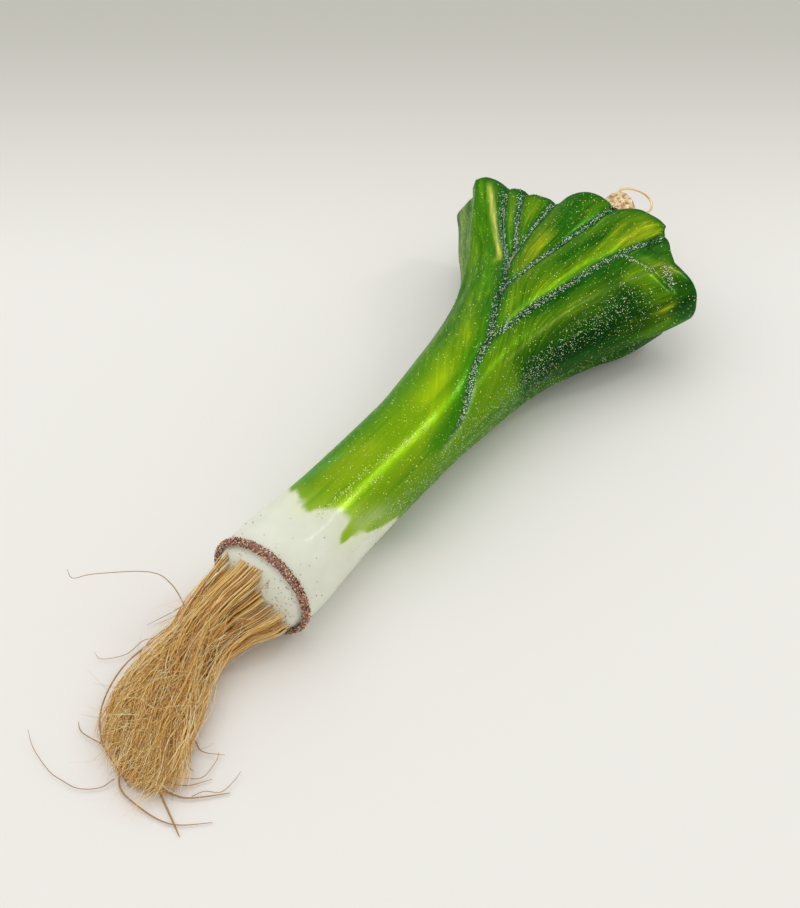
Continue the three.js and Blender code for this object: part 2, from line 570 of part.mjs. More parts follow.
// The root tassel: a bunch with fibres standing out as ridges all round it, and loose
// fibres that leave it for splayed, curled ends.
function rootTassel() {
  const random = seededRandom(TASSEL_SEED);
  const mesh = meshBuilder();
  const count = 2 * FIBRE_RIDGES;
  const sway = Array.from({ length: FIBRE_RIDGES }, () => 2 * Math.PI * random());
  const heights = Array.from({ length: FIBRE_RIDGES }, () => mix(...RIDGE_SHARE, random()));
  // The first two rings lie close over the domed base face.
  const overDome = [0.5, 1].map((share) => mesh.ring(Array.from({ length: count }, (_, k) => {
    const point = inTassel(TASSEL[0][0], BUNCH_SHARE * share, 2 * Math.PI * k / count);
    const fromAxis = Math.hypot(point.y + ORIGIN_Y, point.z - AXIS_HEIGHT);
    point.x = baseFace(fromAxis) - TASSEL_GAP - ORIGIN_X;
    return point;
  })));
  const rings = BUNCH_STATIONS.map((x, station) => {
    const end = station === BUNCH_STATIONS.length - 1 ? BUNCH_END_SHARE : 1;
    return mesh.ring(Array.from({ length: count }, (_, k) => {
      const strand = Math.floor(k / 2);
      const drift = RIDGE_SWAY * Math.sin(x / 9 + 0.4 * sway[strand]) / FIBRE_RIDGES;
      const angle = 2 * Math.PI * k / count + drift;
      const height = k % 2 === 0 ? 0 : RIDGE_HEIGHT * heights[strand] * end;
      const middle = inTassel(x, 0, 0);
      const point = inTassel(x, BUNCH_SHARE * end, angle);
      point.addScaledVector(point.clone().sub(middle).normalize(), height);
      point.z = Math.max(point.z, 0);
      return point;
    }));
  });
  rings.unshift(...overDome);
  for (let i = 1; i < rings.length; i += 1) joinRings(mesh, rings[i - 1], rings[i], true);
  closeRing(mesh, rings[0], inTassel(BASE_FACE[0][1] - TASSEL_GAP, 0, 0));
  closeRing(mesh, rings.at(-1), inTassel(BUNCH_STATIONS.at(-1) - 1, 0, 0), true);
  let bunch = toSolid(mesh.geometry());

  for (let n = 0; n < STRANDS; n += 1) {
    const angle = 2 * Math.PI * (n + 0.5 * random()) / STRANDS;
    const leave = mix(...STRAND_LEAVES, random());
    const reach = mix(...STRAND_ENDS, random());
    const points = STRAND_WAY.map(([way, share]) => inTassel(mix(leave, reach, way), share, angle));
    const curl = points.at(-1).clone();
    curl.x += mix(...STRAND_CURL_X, random());
    curl.y += mix(...STRAND_CURL_Y, random());
    points.push(curl);
    for (const point of points) point.z = Math.max(point.z, STRAND_RADIUS * 0.9);
    bunch = bunch.add(toSolid(fibre(points, STRAND_RADIUS)));
  }
  for (const wisp of WISPS) {
    const points = wisp.map(([x, y, z]) => new THREE.Vector3(x - ORIGIN_X, y - ORIGIN_Y, z));
    bunch = bunch.add(toSolid(fibre(points, WISP_RADIUS)));
  }
  return largestBody(fromSolid(bunch));
}

function material(color, roughness, metalness) {
  return new THREE.MeshStandardMaterial({ color, roughness, metalness });
}

const part = new THREE.Group();
function addPiece(name, geometry, look) {
  const mesh = new THREE.Mesh(geometry, look);
  mesh.name = name;
  part.add(mesh);
}

addPiece('glass_leek', glassLeek(), material(0x4f9a1e, 0.12, 0.5));
addPiece('glitter_ring', glitterRing(), material(0x6e4030, 0.5, 0.6));
addPiece('root_tassel', rootTassel(), material(0xc0955a, 0.85, 0));
addPiece('hanging_cap', hangingCap(), material(0xd9b46c, 0.3, 1));
addPiece('hanging_loop', hangingLoop(), material(0xc9a25a, 0.3, 1));

export default part;
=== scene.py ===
import math
import random

import bpy
import numpy as np
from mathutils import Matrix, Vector


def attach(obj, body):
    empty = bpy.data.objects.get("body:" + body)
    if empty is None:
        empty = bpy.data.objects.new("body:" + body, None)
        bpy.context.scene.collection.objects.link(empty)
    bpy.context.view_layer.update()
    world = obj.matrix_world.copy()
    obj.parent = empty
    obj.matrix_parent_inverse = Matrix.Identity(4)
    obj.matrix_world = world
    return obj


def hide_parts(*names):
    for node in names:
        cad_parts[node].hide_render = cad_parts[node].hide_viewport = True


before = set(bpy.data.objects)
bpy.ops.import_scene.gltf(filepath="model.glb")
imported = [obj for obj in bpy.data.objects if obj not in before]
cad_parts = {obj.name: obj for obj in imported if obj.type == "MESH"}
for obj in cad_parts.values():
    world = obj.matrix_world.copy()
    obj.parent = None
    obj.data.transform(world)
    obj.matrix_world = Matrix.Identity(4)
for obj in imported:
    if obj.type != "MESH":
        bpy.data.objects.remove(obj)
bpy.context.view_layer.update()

# A blown-glass hanging ornament in the shape of a leek, lying on its side on a pale surface.
# The tables are in millimetres, in the same frame as the solids, and every mesh is made in
# metres. The glass is drawn by s along its axis and an angle round it, 90 degrees at the top.

MM = 0.001

# Shape of the leek.

ORIGIN_X = 59.37
ORIGIN_Y = 5.73
AXIS_HEIGHT = 11.95
AXIS_TILT = math.radians(1.82)
TURN_START = -4.4

SHAFT_RADIUS = [(1.5, 11.6), (3.5, 11.95), (6, 12.1), (9, 12.1), (12, 11.9), (20, 11.3), (30, 10.9),
                (45, 10.8), (60, 10.9), (75, 11.2)]
AXIS_DRIFT = [(55, 0), (84, 0.8), (96, 1.1), (113, 1.8), (123, 2.5), (132, 3.8), (138, 5.4)]
BASE_FACE = [(0, -3.0), (3.5, -2.8), (6.5, -2.1), (9.4, -0.9), (11.1, 0.5)]
FAN_WIDTH = [(58, 0), (70, 0.02), (84, 0.065), (96, 0.14), (104, 0.26), (113, 0.44), (123, 0.71),
             (132, 0.9), (137, 1), (146, 1.08)]
FAN_THICKNESS = [(58, 0), (70, 0.13), (84, 0.3), (96, 0.46), (113, 0.69), (137, 1), (146, 1.1)]
FAN_OUTLINE = [(-4.4, 36.8), (2, 34), (10, 31.6), (17, 32.8), (21.5, 32.6), (26, 30.4), (31, 26.5),
               (40, 22.5), (55, 18.2), (75, 16.2), (90, 16), (105, 16.2), (120, 17.6),
               (135, 20.3), (150, 25.5), (162, 31.4), (169, 35.2), (174, 36.4), (180, 36.3),
               (185, 35.6), (189, 33), (194, 30), (201, 29.6), (206.3, 29.8), (212, 26.5),
               (220, 22), (235, 18), (255, 16.2), (270, 16), (285, 16.2), (300, 17.6),
               (315, 20.3), (330, 25.5), (342, 31), (351, 35.9), (355.6, 36.8)]
RIM = [(-4.4, 139.6), (4, 140.8), (10, 140.4), (15, 138.4), (19, 136.9), (22, 137.2), (25, 138.2),
       (27.6, 138), (30.8, 135.6),
       (33.5, 137.8), (37.5, 138), (41, 135.8), (48, 137.2), (58, 137.2), (64, 136.8), (70, 137),
       (74, 139.4), (78, 141.4), (83, 142.6), (92, 143.6), (102, 143.8), (112, 143.6),
       (118, 142.4), (122, 143.2), (128, 145), (135, 146), (142, 146), (149, 145.2), (154, 143.4),
       (158, 139.8), (162, 137), (168, 136.8), (175.6, 136.4), (182, 136.6), (192, 136.5),
       (206, 135.5), (211, 134.3), (216, 135.8), (221, 135), (228, 137), (238, 137), (249, 137),
       (258, 141.4), (272, 143.6), (292, 143.6), (298, 142.4), (308, 145), (315, 145.6),
       (329, 143.4), (336, 140), (342, 137.8), (349, 138.5), (355.6, 139.6)]

# Grooves between the leaves and the raised lines: path of (s, angle), start, full, size, reach.
GROOVE_REACH = 1.9
GROOVE_LINES = {
    "long": ([(50, 162), (61.5, 151), (71, 126.8), (76.7, 114.2), (84.8, 104.5), (96, 80.5),
              (103.4, 69), (110.5, 54.5), (120.2, 37.5), (127.1, 32.5), (134.8, 30.8),
              (146, 30)], 52, 95, 2.1),
    "thin": ([(107, 64), (109.3, 60.3), (114, 54.2), (118, 50), (122.5, 45.8), (129.1, 41.2),
              (135, 39.5), (146, 39)], 107, 116, 1.5),
    "back": ([(109, 57), (113, 55.5), (116, 54.5), (121.3, 56.5), (126.9, 58.8), (132.8, 62.8),
              (138, 70), (146, 78)], 112, 119, 1.5),
    "middle": ([(98, 74), (101, 75.2), (104.3, 76.5), (109.1, 82), (115.2, 87.8), (121.9, 94.8),
                (129.2, 103), (136.4, 112.3), (142.1, 117.8), (148, 121)], 99, 108, 1.7),
    "front": ([(84, 108), (89.5, 109.5), (93.9, 111.5), (100.6, 117), (106.9, 123),
               (113.8, 128.5), (121.7, 133.8), (127.5, 139.2), (133.2, 144.2), (137, 149),
               (146, 156)], 85, 96, 1.7),
}
RIDGE_LINES = {
    "side": ([(88, 52), (97, 43.8), (104.5, 37.5), (110.7, 32), (117.2, 27.5), (124, 24),
              (134, 22), (146, 21.5)], 88, 104, 0.9, 2.6),
    "midrib": ([(84.4, 136.5), (94.3, 138.2), (104.2, 141.5), (116, 148), (128.3, 155),
                (140, 162)], 84, 98, 0.55, 1.6),
}
LEAF_SWELL, LEAF_SWELL_START, LEAF_SWELL_FULL = 0.7, 80, 108
RIM_FILLET = 1.9
# The folded lip of the lowest leaf, with the angles where its crease and its step begin, are
# full, fade and end.
LIP_CREASE_S, LIP_CREASE_DEPTH, LIP_CREASE_REACH = 130.6, 0.8, 1.3
LIP_CREASE_ANGLES = (144, 148, 166, 170)
LIP_STEP_S, LIP_STEP_DEPTH, LIP_STEP_REACH = 135.2, 1.3, 0.8
LIP_STEP_ANGLES = (148, 150, 160, 163)
NECK_Y, NECK_RADIUS, NECK_START, NECK_END = 6.0, 3.4, 153, 160.8

# Lines that the columns of the glass surface follow, most of them into a groove or along a raised
# line, with the columns between them.
COLUMN_LINES = [
    ([(50, 124), (70, 62), (80, 34), (90, 8), (100, -4.4), (146, -4.4)], 4),
    ([(50, 146.5), (60, 132), (70, 104), (80, 78), (88, 56)] + RIDGE_LINES["side"][0][1:], 2),
    (GROOVE_LINES["long"][0], 3),
    ([(50, 178), (70, 140), (84, 114), (96, 90), (103, 76), (109.3, 62)]
     + GROOVE_LINES["thin"][0][2:], 4),
    ([(50, 200.5), (70, 152), (84, 124), (96, 100), (103, 86), (109.3, 71), (113, 62), (116, 58),
      (121.3, 57.5), (126.9, 59)] + GROOVE_LINES["back"][0][5:], 6),
    ([(50, 232), (70, 170), (84, 136), (96, 110), (101, 99), (106, 91), (110, 88), (115.2, 89)]
     + GROOVE_LINES["middle"][0][5:], 6),
    ([(50, 263.5), (65, 206), (84, 150), (92, 130), (97, 122), (102, 120)]
     + GROOVE_LINES["front"][0][4:], 7),
]
COLUMN_DETAIL = 5
# Rows of the glass surface: rings on the base face by radius, rows by s along the outside, bends
# round the rim, and steps over the end face from the rim to the neck.
BASE_RINGS = (0.02, 2, 3.5, 5, 6.5, 7.8, 9, 9.8, 10.5, 10.85)
BASE_CORNER_RADIUS, BASE_CORNER_S = 10.6, 0.85
FIRST_ROWS, SHAFT_ROWS, FAN_ROWS, LAST_ROW = (1.5, 2.4), 3.5, 60, 135
SHAFT_ROW_STEP, FAN_ROW_STEP = 0.9, 0.62
RIM_ROW, RIM_FOLLOW_START = 137.4, 116
RIM_BENDS = np.linspace(0.15, 1, 7) * math.pi / 2
END_FACE_STEPS, END_FACE_BEND = np.linspace(0.06, 0.94, 16), 1.7


def mix(a, b, t):
    return a + (b - a) * t


def ease(start, end, x):
    t = np.clip((x - start) / (end - start), 0, 1)
    return t * t * (3 - 2 * t)


def window(start, full, fading, end, x):
    """Rises from 0 at start to 1 at full, and falls to 0 again from fading to end."""
    return ease(start, full, x) * (1 - ease(fading, end, x))


def bell(x, half_width):
    """1 where x is 0, falling off smoothly to both sides."""
    return np.exp(-(x / half_width) ** 2)


def smooth_curve(points):
    """Curve through (x, y) points that never overshoots them, level past both ends."""
    x, y = np.array(points, float).T
    secant = np.diff(y) / np.diff(x)
    slope = np.concatenate([secant[:1], np.zeros(len(x) - 2), secant[-1:]])
    before, after = secant[:-1], secant[1:]
    rising = before * after > 0
    slope[1:-1][rising] = (2 * before * after)[rising] / (before + after)[rising]

    def curve(at):
        at = np.clip(np.asarray(at, float), x[0], x[-1])
        i = np.clip(np.searchsorted(x, at, side="left") - 1, 0, len(x) - 2)
        width = x[i + 1] - x[i]
        t = (at - x[i]) / width
        t2, t3 = t * t, t * t * t
        return (y[i] * (2 * t3 - 3 * t2 + 1) + y[i + 1] * (3 * t2 - 2 * t3)
                + width * (slope[i] * (t3 - 2 * t2 + t) + slope[i + 1] * (t3 - t2)))
    return curve


shaft_radius = smooth_curve(SHAFT_RADIUS)
axis_drift = smooth_curve(AXIS_DRIFT)
fan_width = smooth_curve(FAN_WIDTH)
fan_thickness = smooth_curve(FAN_THICKNESS)
fan_outline = smooth_curve(FAN_OUTLINE)
rim_reach = smooth_curve(RIM)
base_face = smooth_curve(BASE_FACE)
column_lines = [(smooth_curve(path), count) for path, count in COLUMN_LINES]
groove_curves = {name: smooth_curve(line[0]) for name, line in GROOVE_LINES.items()}
ridge_curves = {name: smooth_curve(line[0]) for name, line in RIDGE_LINES.items()}


def wrap(angle, span=360, start=TURN_START):
    return np.mod(angle - start, span) + start


def distance_to_line(line, s, angle, radius):
    """Distance in mm over the surface, negative on the side of smaller angles."""
    turned = wrap(angle - line(s), 180, -90)
    slant = radius * np.radians(line(s + 0.5) - line(s - 0.5))
    return radius * np.radians(turned) / np.hypot(1, slant)


def body_radius(s, angle):
    across = np.cos(np.radians(angle)) ** 2
    share = mix(fan_thickness(s), fan_width(s), across)
    shaft = shaft_radius(s)
    return shaft + (fan_outline(wrap(angle)) - shaft) * share


def relief(s, angle, radius):
    """Height of the swollen leaves with their grooves, raised lines and folded lip."""
    height = LEAF_SWELL * ease(LEAF_SWELL_START, LEAF_SWELL_FULL, s)
    for name, (_, start, full, depth) in GROOVE_LINES.items():
        away = np.abs(distance_to_line(groove_curves[name], s, angle, radius))
        height = height - depth * ease(start, full, s) * np.exp(-away / GROOVE_REACH)
    for name, (_, start, full, rise, reach) in RIDGE_LINES.items():
        away = np.abs(distance_to_line(ridge_curves[name], s, angle, radius))
        height = height + rise * ease(start, full, s) * np.exp(-away / reach)
    turned = wrap(angle, 180)
    crease = window(*LIP_CREASE_ANGLES, turned) * bell(s - LIP_CREASE_S, LIP_CREASE_REACH)
    step = (window(*LIP_STEP_ANGLES, turned)
            * ease(LIP_STEP_S - LIP_STEP_REACH, LIP_STEP_S + LIP_STEP_REACH, s))
    return height - LIP_CREASE_DEPTH * crease - LIP_STEP_DEPTH * step


def to_part(s, y, z):
    """From the leek's own frame to the frame of the part, in mm."""
    s, y, z = np.broadcast_arrays(np.asarray(s, float), y, z)
    along, up = math.cos(AXIS_TILT), math.sin(AXIS_TILT)
    point = np.stack([s * along - z * up - ORIGIN_X, y - ORIGIN_Y,
                      AXIS_HEIGHT + s * up + z * along], -1)
    point[..., 2] = np.maximum(point[..., 2], 0)
    return point


# Meshes.

def make_object(name, points, faces, smooth=True):
    mesh = bpy.data.meshes.new(name)
    mesh.from_pydata((np.asarray(points, float).reshape(-1, 3) * MM).tolist(), [], faces)
    mesh.polygons.foreach_set("use_smooth", [smooth] * len(mesh.polygons))
    mesh.update()
    obj = bpy.data.objects.new(name, mesh)
    bpy.context.scene.collection.objects.link(obj)
    return obj


def ring_faces(rows, columns, first=0):
    """Quads between rows of points, where each row is a ring."""
    quads = []
    for row in range(rows - 1):
        for column in range(columns):
            a = first + row * columns + column
            b = first + row * columns + (column + 1) % columns
            quads.append((a, b, b + columns, a + columns))
    return quads


def fill(layer, field, values):
    layer.data.foreach_set(field, np.ascontiguousarray(values, np.float32).ravel())


def own(obj, node=None):
    """Puts a piece under the root body, and hides the solid it stands for if there is one."""
    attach(obj, "root")
    if node:
        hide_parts(node)
    return obj


# Shader helpers. Tones are given as they show on the screen, from 0 to 255.

def to_linear(tones):
    tones = np.clip(tones, 0, 255) / 255
    return np.where(tones <= 0.04045, tones / 12.92, ((tones + 0.055) / 1.055) ** 2.4)


def rgba(*tone):
    return (*[float(part) for part in to_linear(tone)], 1.0)


class Shader:
    """One material and short names for the shader nodes it uses."""

    def __init__(self, name):
        self.material = bpy.data.materials.new(name)
        self.material.use_nodes = True
        self.tree = self.material.node_tree
        self.surface = self.tree.nodes["Principled BSDF"]

    def feed(self, socket, value):
        if isinstance(value, bpy.types.NodeSocket):
            self.tree.links.new(value, socket)
        else:
            socket.default_value = value

    def set(self, **inputs):
        """Feeds inputs of the surface, whose names have spaces where these have _."""
        for name, value in inputs.items():
            self.feed(self.surface.inputs[name.replace("_", " ")], value)

    def node(self, kind, inputs, **settings):
        made = self.tree.nodes.new(kind)
        for name, value in settings.items():
            setattr(made, name, value)
        for name, value in inputs.items():
            self.feed(made.inputs[name], value)
        return made

    def attribute(self, name, output="Fac"):
        return self.node("ShaderNodeAttribute", {}, attribute_name=name).outputs[output]

    def maths(self, operation, a, b):
        return self.node("ShaderNodeMath", {0: a, 1: b}, operation=operation).outputs[0]

    def blend(self, share, a, b, kind="MIX"):
        inputs = {"Factor": share, "A": a, "B": b}
        made = self.node("ShaderNodeMix", inputs, data_type="RGBA", blend_type=kind)
        return made.outputs["Result"]

    def between(self, low, high, value):
        """0 up to low and 1 from high on, or the other way round where high is the lower."""
        inputs = {"Value": value, "From Min": low, "From Max": high}
        made = self.node("ShaderNodeMapRange", inputs, interpolation_type="SMOOTHSTEP")
        return made.outputs["Result"]

    def coordinates(self):
        return self.node("ShaderNodeTexCoord", {}).outputs["Object"]

    def stretched(self, along=1.0):
        """Coordinates in metres. Below 1, along draws patterns out along the leek."""
        inputs = {"Vector": self.coordinates(), "Scale": (along, 1, 1)}
        return self.node("ShaderNodeMapping", inputs).outputs["Vector"]

    def noise(self, vector, scale, detail, roughness=0.55):
        inputs = {"Vector": vector, "Scale": scale, "Detail": detail, "Roughness": roughness}
        return self.node("ShaderNodeTexNoise", inputs).outputs["Fac"]

    def bump(self, height, strength, distance):
        inputs = {"Height": height, "Strength": strength, "Distance": distance * MM}
        return self.node("ShaderNodeBump", inputs).outputs["Normal"]


def plain(name, tone, roughness, metallic=0.0):
    """A material of one tone."""
    shader = Shader(name)
    shader.set(Base_Color=rgba(*tone), Roughness=roughness, Metallic=metallic)
    return shader.material


def pressed_gold():
    """Thin pressed gold-coloured metal with fine creases, with painted highlights and painted shade
    in its tone.
    """
    shader = Shader("gold cap")
    crease = shader.noise(shader.stretched(), 900, 3)
    # The light tone is painted highlight and the dark tone painted shade, following the creases.
    tone = shader.blend(shader.between(0.34, 0.6, crease), rgba(188, 138, 84),
                        rgba(255, 236, 190))
    shader.set(Base_Color=tone, Roughness=0.28, Metallic=0.7,
               Normal=shader.bump(crease, 0.8, 0.8))
    return shader.material


def packed_glitter():
    """The close layer of glitter under the loose grains of the ring."""
    shader = Shader("packed glitter")
    speck = shader.noise(shader.stretched(), 2600, 2)
    shader.set(Base_Color=shader.blend(speck, rgba(84, 52, 46), rgba(182, 134, 118)),
               Roughness=0.5, Metallic=0.5, Normal=shader.bump(speck, 0.8, 0.2))
    return shader.material


# Glass body.

def column_angles(s):
    """Angles of the columns over the whole turn for every row in s."""
    marks = [line(s) for line, _ in column_lines]
    marks.append(marks[0] + 180)
    half = []
    for sector, (_, count) in enumerate(column_lines):
        for i in range(count * COLUMN_DETAIL):
            half.append(mix(marks[sector], marks[sector + 1], i / (count * COLUMN_DETAIL)))
    half = np.stack(half, -1)
    return np.concatenate([half, half + 180], -1)


def outer_point(s, angle, radius):
    turn = np.radians(angle)
    return to_part(s, axis_drift(s) + radius * np.cos(turn), radius * np.sin(turn))


def glass_grid():
    """Rows of points over the outside of the glass, with their s and angle."""
    grid = []

    def add(points, s, angle):
        grid.append((points, np.broadcast_to(s, angle.shape), angle))

    start_angles = column_angles(np.array([0.0]))[0]
    for radius in BASE_RINGS:
        s = float(base_face(radius)) if radius < BASE_CORNER_RADIUS else BASE_CORNER_S
        add(outer_point(s, start_angles, radius), s, start_angles)
    rows = np.concatenate([FIRST_ROWS, np.arange(SHAFT_ROWS, FAN_ROWS, SHAFT_ROW_STEP),
                           np.arange(FAN_ROWS, LAST_ROW, FAN_ROW_STEP), [LAST_ROW]])
    row_angles = column_angles(rows)
    for row, angle in zip(rows, row_angles):
        reach = rim_reach(wrap(angle)) - RIM_FILLET
        s = row + (reach - LAST_ROW) * ease(RIM_FOLLOW_START, LAST_ROW, row)
        body = body_radius(s, angle)
        add(outer_point(s, angle, body + relief(s, angle, body)), s, angle)

    rim_angles = column_angles(np.array([RIM_ROW]))[0]
    reach = rim_reach(wrap(rim_angles))
    start = reach - RIM_FILLET
    body = body_radius(start, rim_angles)
    edge = body + relief(start, rim_angles, body)
    turn = np.radians(rim_angles)
    for bend in RIM_BENDS:
        radius = edge - RIM_FILLET * (1 - math.cos(bend))
        s = start + RIM_FILLET * math.sin(bend)
        add(to_part(s, axis_drift(start) + radius * np.cos(turn), radius * np.sin(turn)), s,
            rim_angles)
    rim_y = axis_drift(start) + (edge - RIM_FILLET) * np.cos(turn)
    rim_z = (edge - RIM_FILLET) * np.sin(turn)
    around = np.radians(TURN_START + 360 * np.arange(len(rim_angles)) / len(rim_angles))
    neck_y = NECK_Y + NECK_RADIUS * np.cos(around)
    neck_z = NECK_RADIUS * np.sin(around)
    for draw in END_FACE_STEPS:
        add(to_part(mix(reach, NECK_START, draw ** END_FACE_BEND), mix(rim_y, neck_y, draw),
                    mix(rim_z, neck_z, draw)), reach, rim_angles)
    for s in (NECK_START, NECK_END):
        add(to_part(s, neck_y, neck_z), reach, rim_angles)
    return [np.array(part) for part in zip(*grid)]


def surface_point(s, angle, lift=0.0):
    """A point on the outside of the glass, rim included, raised by lift."""
    past = np.clip((s - rim_reach(wrap(angle)) + RIM_FILLET) / RIM_FILLET, 0, 1)
    body = body_radius(s, angle)
    rounding = RIM_FILLET * (1 - np.sqrt(1 - past * past))
    return outer_point(s, angle, body + relief(s, angle, body) - rounding + lift)


def surface_frame(s, angle, lift=0.04, step=0.3, turn=0.7):
    """Points just off the glass and the outward directions there."""
    spot = surface_point(s, angle, lift)
    ahead = surface_point(s + step, angle, lift) - surface_point(s - step, angle, lift)
    across = surface_point(s, angle + turn, lift) - surface_point(s, angle - turn, lift)
    out = np.cross(ahead, across)
    out /= np.linalg.norm(out, axis=-1)[..., None] + 1e-9
    away = spot - to_part(s, axis_drift(s), 0.0)
    out[(out * away).sum(-1) < 0] *= -1
    return spot, out


# Lacquer tones, as they show on the screen from 0 to 255.

SHAFT_TONE = (128, 176, 6)
LEAF_TONE = (92, 142, 8)
LIGHT_BRUSH_TONE = (150, 184, 22)
DEEP_BRUSH_TONE = (48, 118, 6)
# Painted shade: the dark flanks of the grooves. The groove floors' dark teal is partly the colour of
# their glitter and partly painted shade.
GROOVE_FLANK_SHADE_TONE = (22, 92, 8)
GROOVE_TONE = (16, 82, 46)
UNDERSIDE_SHADE_TONE = (30, 78, 12)
SIDE_WALL_TONE = (156, 176, 120)
RIM_TONE = (26, 96, 16)

# Brush strokes over the half turn, among them a painted highlight and painted shade on the shaft:
# path of (s, angle), half width, tone, strength.
STROKES = [
    ([(20, 62), (35, 58), (52, 52), (66, 62), (78, 76)], 4.5, (88, 152, 2), 0.75),
    ([(24, 88), (34, 88), (40, 90)], 3.2, (160, 190, 36), 0.7),
    ([(58, 106), (64, 101), (72, 95)], 3.4, (168, 204, 8), 0.8),
    # A painted highlight along the shaft's bright side.
    ([(22, 124), (40, 127), (56, 128)], 2.4, (152, 196, 16), 0.6),
    # Painted shade on the shaft's side turned away from the light.
    ([(30, 160), (50, 163), (70, 160), (84, 150)], 5.0, (108, 150, 20), 0.6),
    ([(26, 40), (40, 36), (60, 40)], 3.0, (108, 158, 10), 0.6),
    ([(52, 150), (61, 141), (70, 118), (76, 106), (86, 91), (96, 73)], 2.6, (52, 130, 6), 0.8),
    ([(54, 168), (64, 158), (74, 134), (82, 118), (90, 108)], 1.8, (96, 150, 6), 0.6),
    ([(98, 58), (110, 42), (120, 30), (128, 26), (138, 25)], 3.2, (64, 134, 3), 0.85),
    ([(112, 46), (119, 35.2), (126, 29.6), (134, 27)], 0.45, (226, 232, 120), 1.0),
    ([(116, 47), (124, 40.5), (134, 35)], 1.1, (44, 132, 14), 0.7),
    ([(116, 54), (122, 46), (127.7, 38.8), (134, 36)], 1.5, (116, 160, 24), 0.9),
    ([(108, 84), (115, 79), (122, 76), (131, 77)], 2.4, (150, 168, 16), 0.75),
    ([(126, 86), (134, 86), (143, 88)], 4.2, (26, 104, 8), 0.85),
    ([(130, 106), (141, 110)], 1.8, (104, 160, 18), 0.6),
    ([(116, 106), (124, 114), (131, 124), (139, 133)], 1.7, (20, 92, 6), 0.85),
    ([(110, 98), (120, 104), (130, 112), (140, 122)], 1.3, (66, 128, 8), 0.6),
    ([(131, 138), (136, 141), (142, 143)], 2.2, (200, 208, 30), 0.7),
    ([(133, 128), (138, 131)], 1.0, (176, 190, 24), 0.6),
    ([(104, 113), (116, 122.5), (124, 127), (130, 131)], 1.5, (146, 184, 8), 0.8),
    ([(94, 108), (100.6, 112), (106.9, 118), (113.8, 124.4), (121.7, 130), (128, 136)], 0.7,
     (172, 232, 30), 0.95),
    ([(98, 122), (106, 128), (113, 132.5), (120, 137.5), (127, 143)], 2.6, (24, 100, 6), 0.85),
    ([(96, 134), (107, 144), (116, 149), (124, 154)], 2.4, (104, 136, 14), 0.7),
    ([(84, 136.5), (94.3, 138.2), (104.2, 141.5), (116, 148), (128.3, 155)], 0.45,
     (158, 190, 72), 0.8),
    ([(86, 168), (98, 172), (109, 172), (121, 163)], 6.5, (2, 56, 2), 1.0),
    ([(115, 174), (121, 172), (127, 171)], 2.6, (50, 84, 0), 0.85),
    ([(125, 171.5), (129, 171)], 0.7, (190, 200, 30), 0.8),
    ([(129.5, 173), (134, 174), (138, 175)], 6.0, (2, 62, 4), 1.0),
    ([(70, 84), (78, 82), (86, 77)], 3.0, (140, 182, 6), 0.7),
    ([(131, 157), (136, 163)], 1.4, (150, 156, 58), 0.8),
    ([(132, 148), (137, 154), (140, 158)], 1.4, (24, 96, 16), 0.8),
    ([(54, 162), (61.5, 155), (67, 142), (72, 130)], 0.8, (172, 206, 112), 0.85),
    ([(25, 59), (29, 63), (34, 69)], 2.0, (112, 188, 128), 0.7),
    ([(22, 148), (27, 156), (31, 163)], 2.8, (184, 208, 140), 0.8),
    ([(32, 168), (37, 173)], 2.2, (150, 184, 112), 0.6),
    ([(27, 78), (31, 84), (35, 90)], 3.0, (142, 178, 16), 0.7),
]
FADE_INSIDE, FADE_OUTSIDE = 2, 5
GROOVE_CORE, GROOVE_FLANK = 0.8, 2.0
LACQUER_DEPTH = 0.88
# Where along s the shaft's tone and brush lanes give way to those of the leaves.
LEAF_TONE_START, LEAF_TONE_FULL = 58, 96
LEAF_LANES_START, LEAF_LANES_FULL = 74, 96
# Painted shade on the underside, and the pale side wall of the fan, by angle and s.
UNDERSIDE_ANGLES, UNDERSIDE_START, UNDERSIDE_FULL = (184, 200, 240, 262), 92, 106
SIDE_WALL_HALF_WIDTH, SIDE_WALL_START, SIDE_WALL_FULL = 8, 98, 108
# Where the green begins: s by angle over the whole turn.
GREEN_START = [(-4.4, 26), (20, 24), (36, 23), (60, 19.5), (80, 18), (96, 17.4), (112, 19.5),
               (126, 21), (136, 21.5), (142, 19.6), (149, 18), (154, 22), (164, 24), (171, 27),
               (184, 33), (194, 37), (215, 36), (250, 30), (300, 28), (340, 27), (355.6, 26)]
green_start = smooth_curve(GREEN_START)
STREAK_STEPS, FIRST_STREAK_STEP = 64, 8


def streaks(lane, s, lanes, length, seed):
    """Smooth random values from 0 to 1 in strokes along the leek. Lane runs from 0 to 1."""
    lattice = np.random.default_rng(seed).random((lanes, STREAK_STEPS))
    across, along = np.mod(lane, 1) * lanes, s / length + FIRST_STREAK_STEP
    i, j = np.floor(across).astype(int), np.floor(along).astype(int)
    u, v = ease(0, 1, across - i), ease(0, 1, along - j)

    def row(step):
        step = step % STREAK_STEPS
        return mix(lattice[i % lanes, step], lattice[(i + 1) % lanes, step], u)
    return mix(row(j), row(j + 1), v)


def cover(tone, share, colour):
    return mix(tone, np.array(colour, float), np.clip(share, 0, 1)[..., None])


def stroke_share(path, half_width, s, angle, radius):
    """How strongly a stroke covers each point, fading in and out round its ends."""
    first, last = path[0][0], path[-1][0]
    ends = window(first - FADE_OUTSIDE, first + FADE_INSIDE, last - FADE_INSIDE,
                  last + FADE_OUTSIDE, s)
    return ends * bell(distance_to_line(smooth_curve(path), s, angle, radius), half_width)


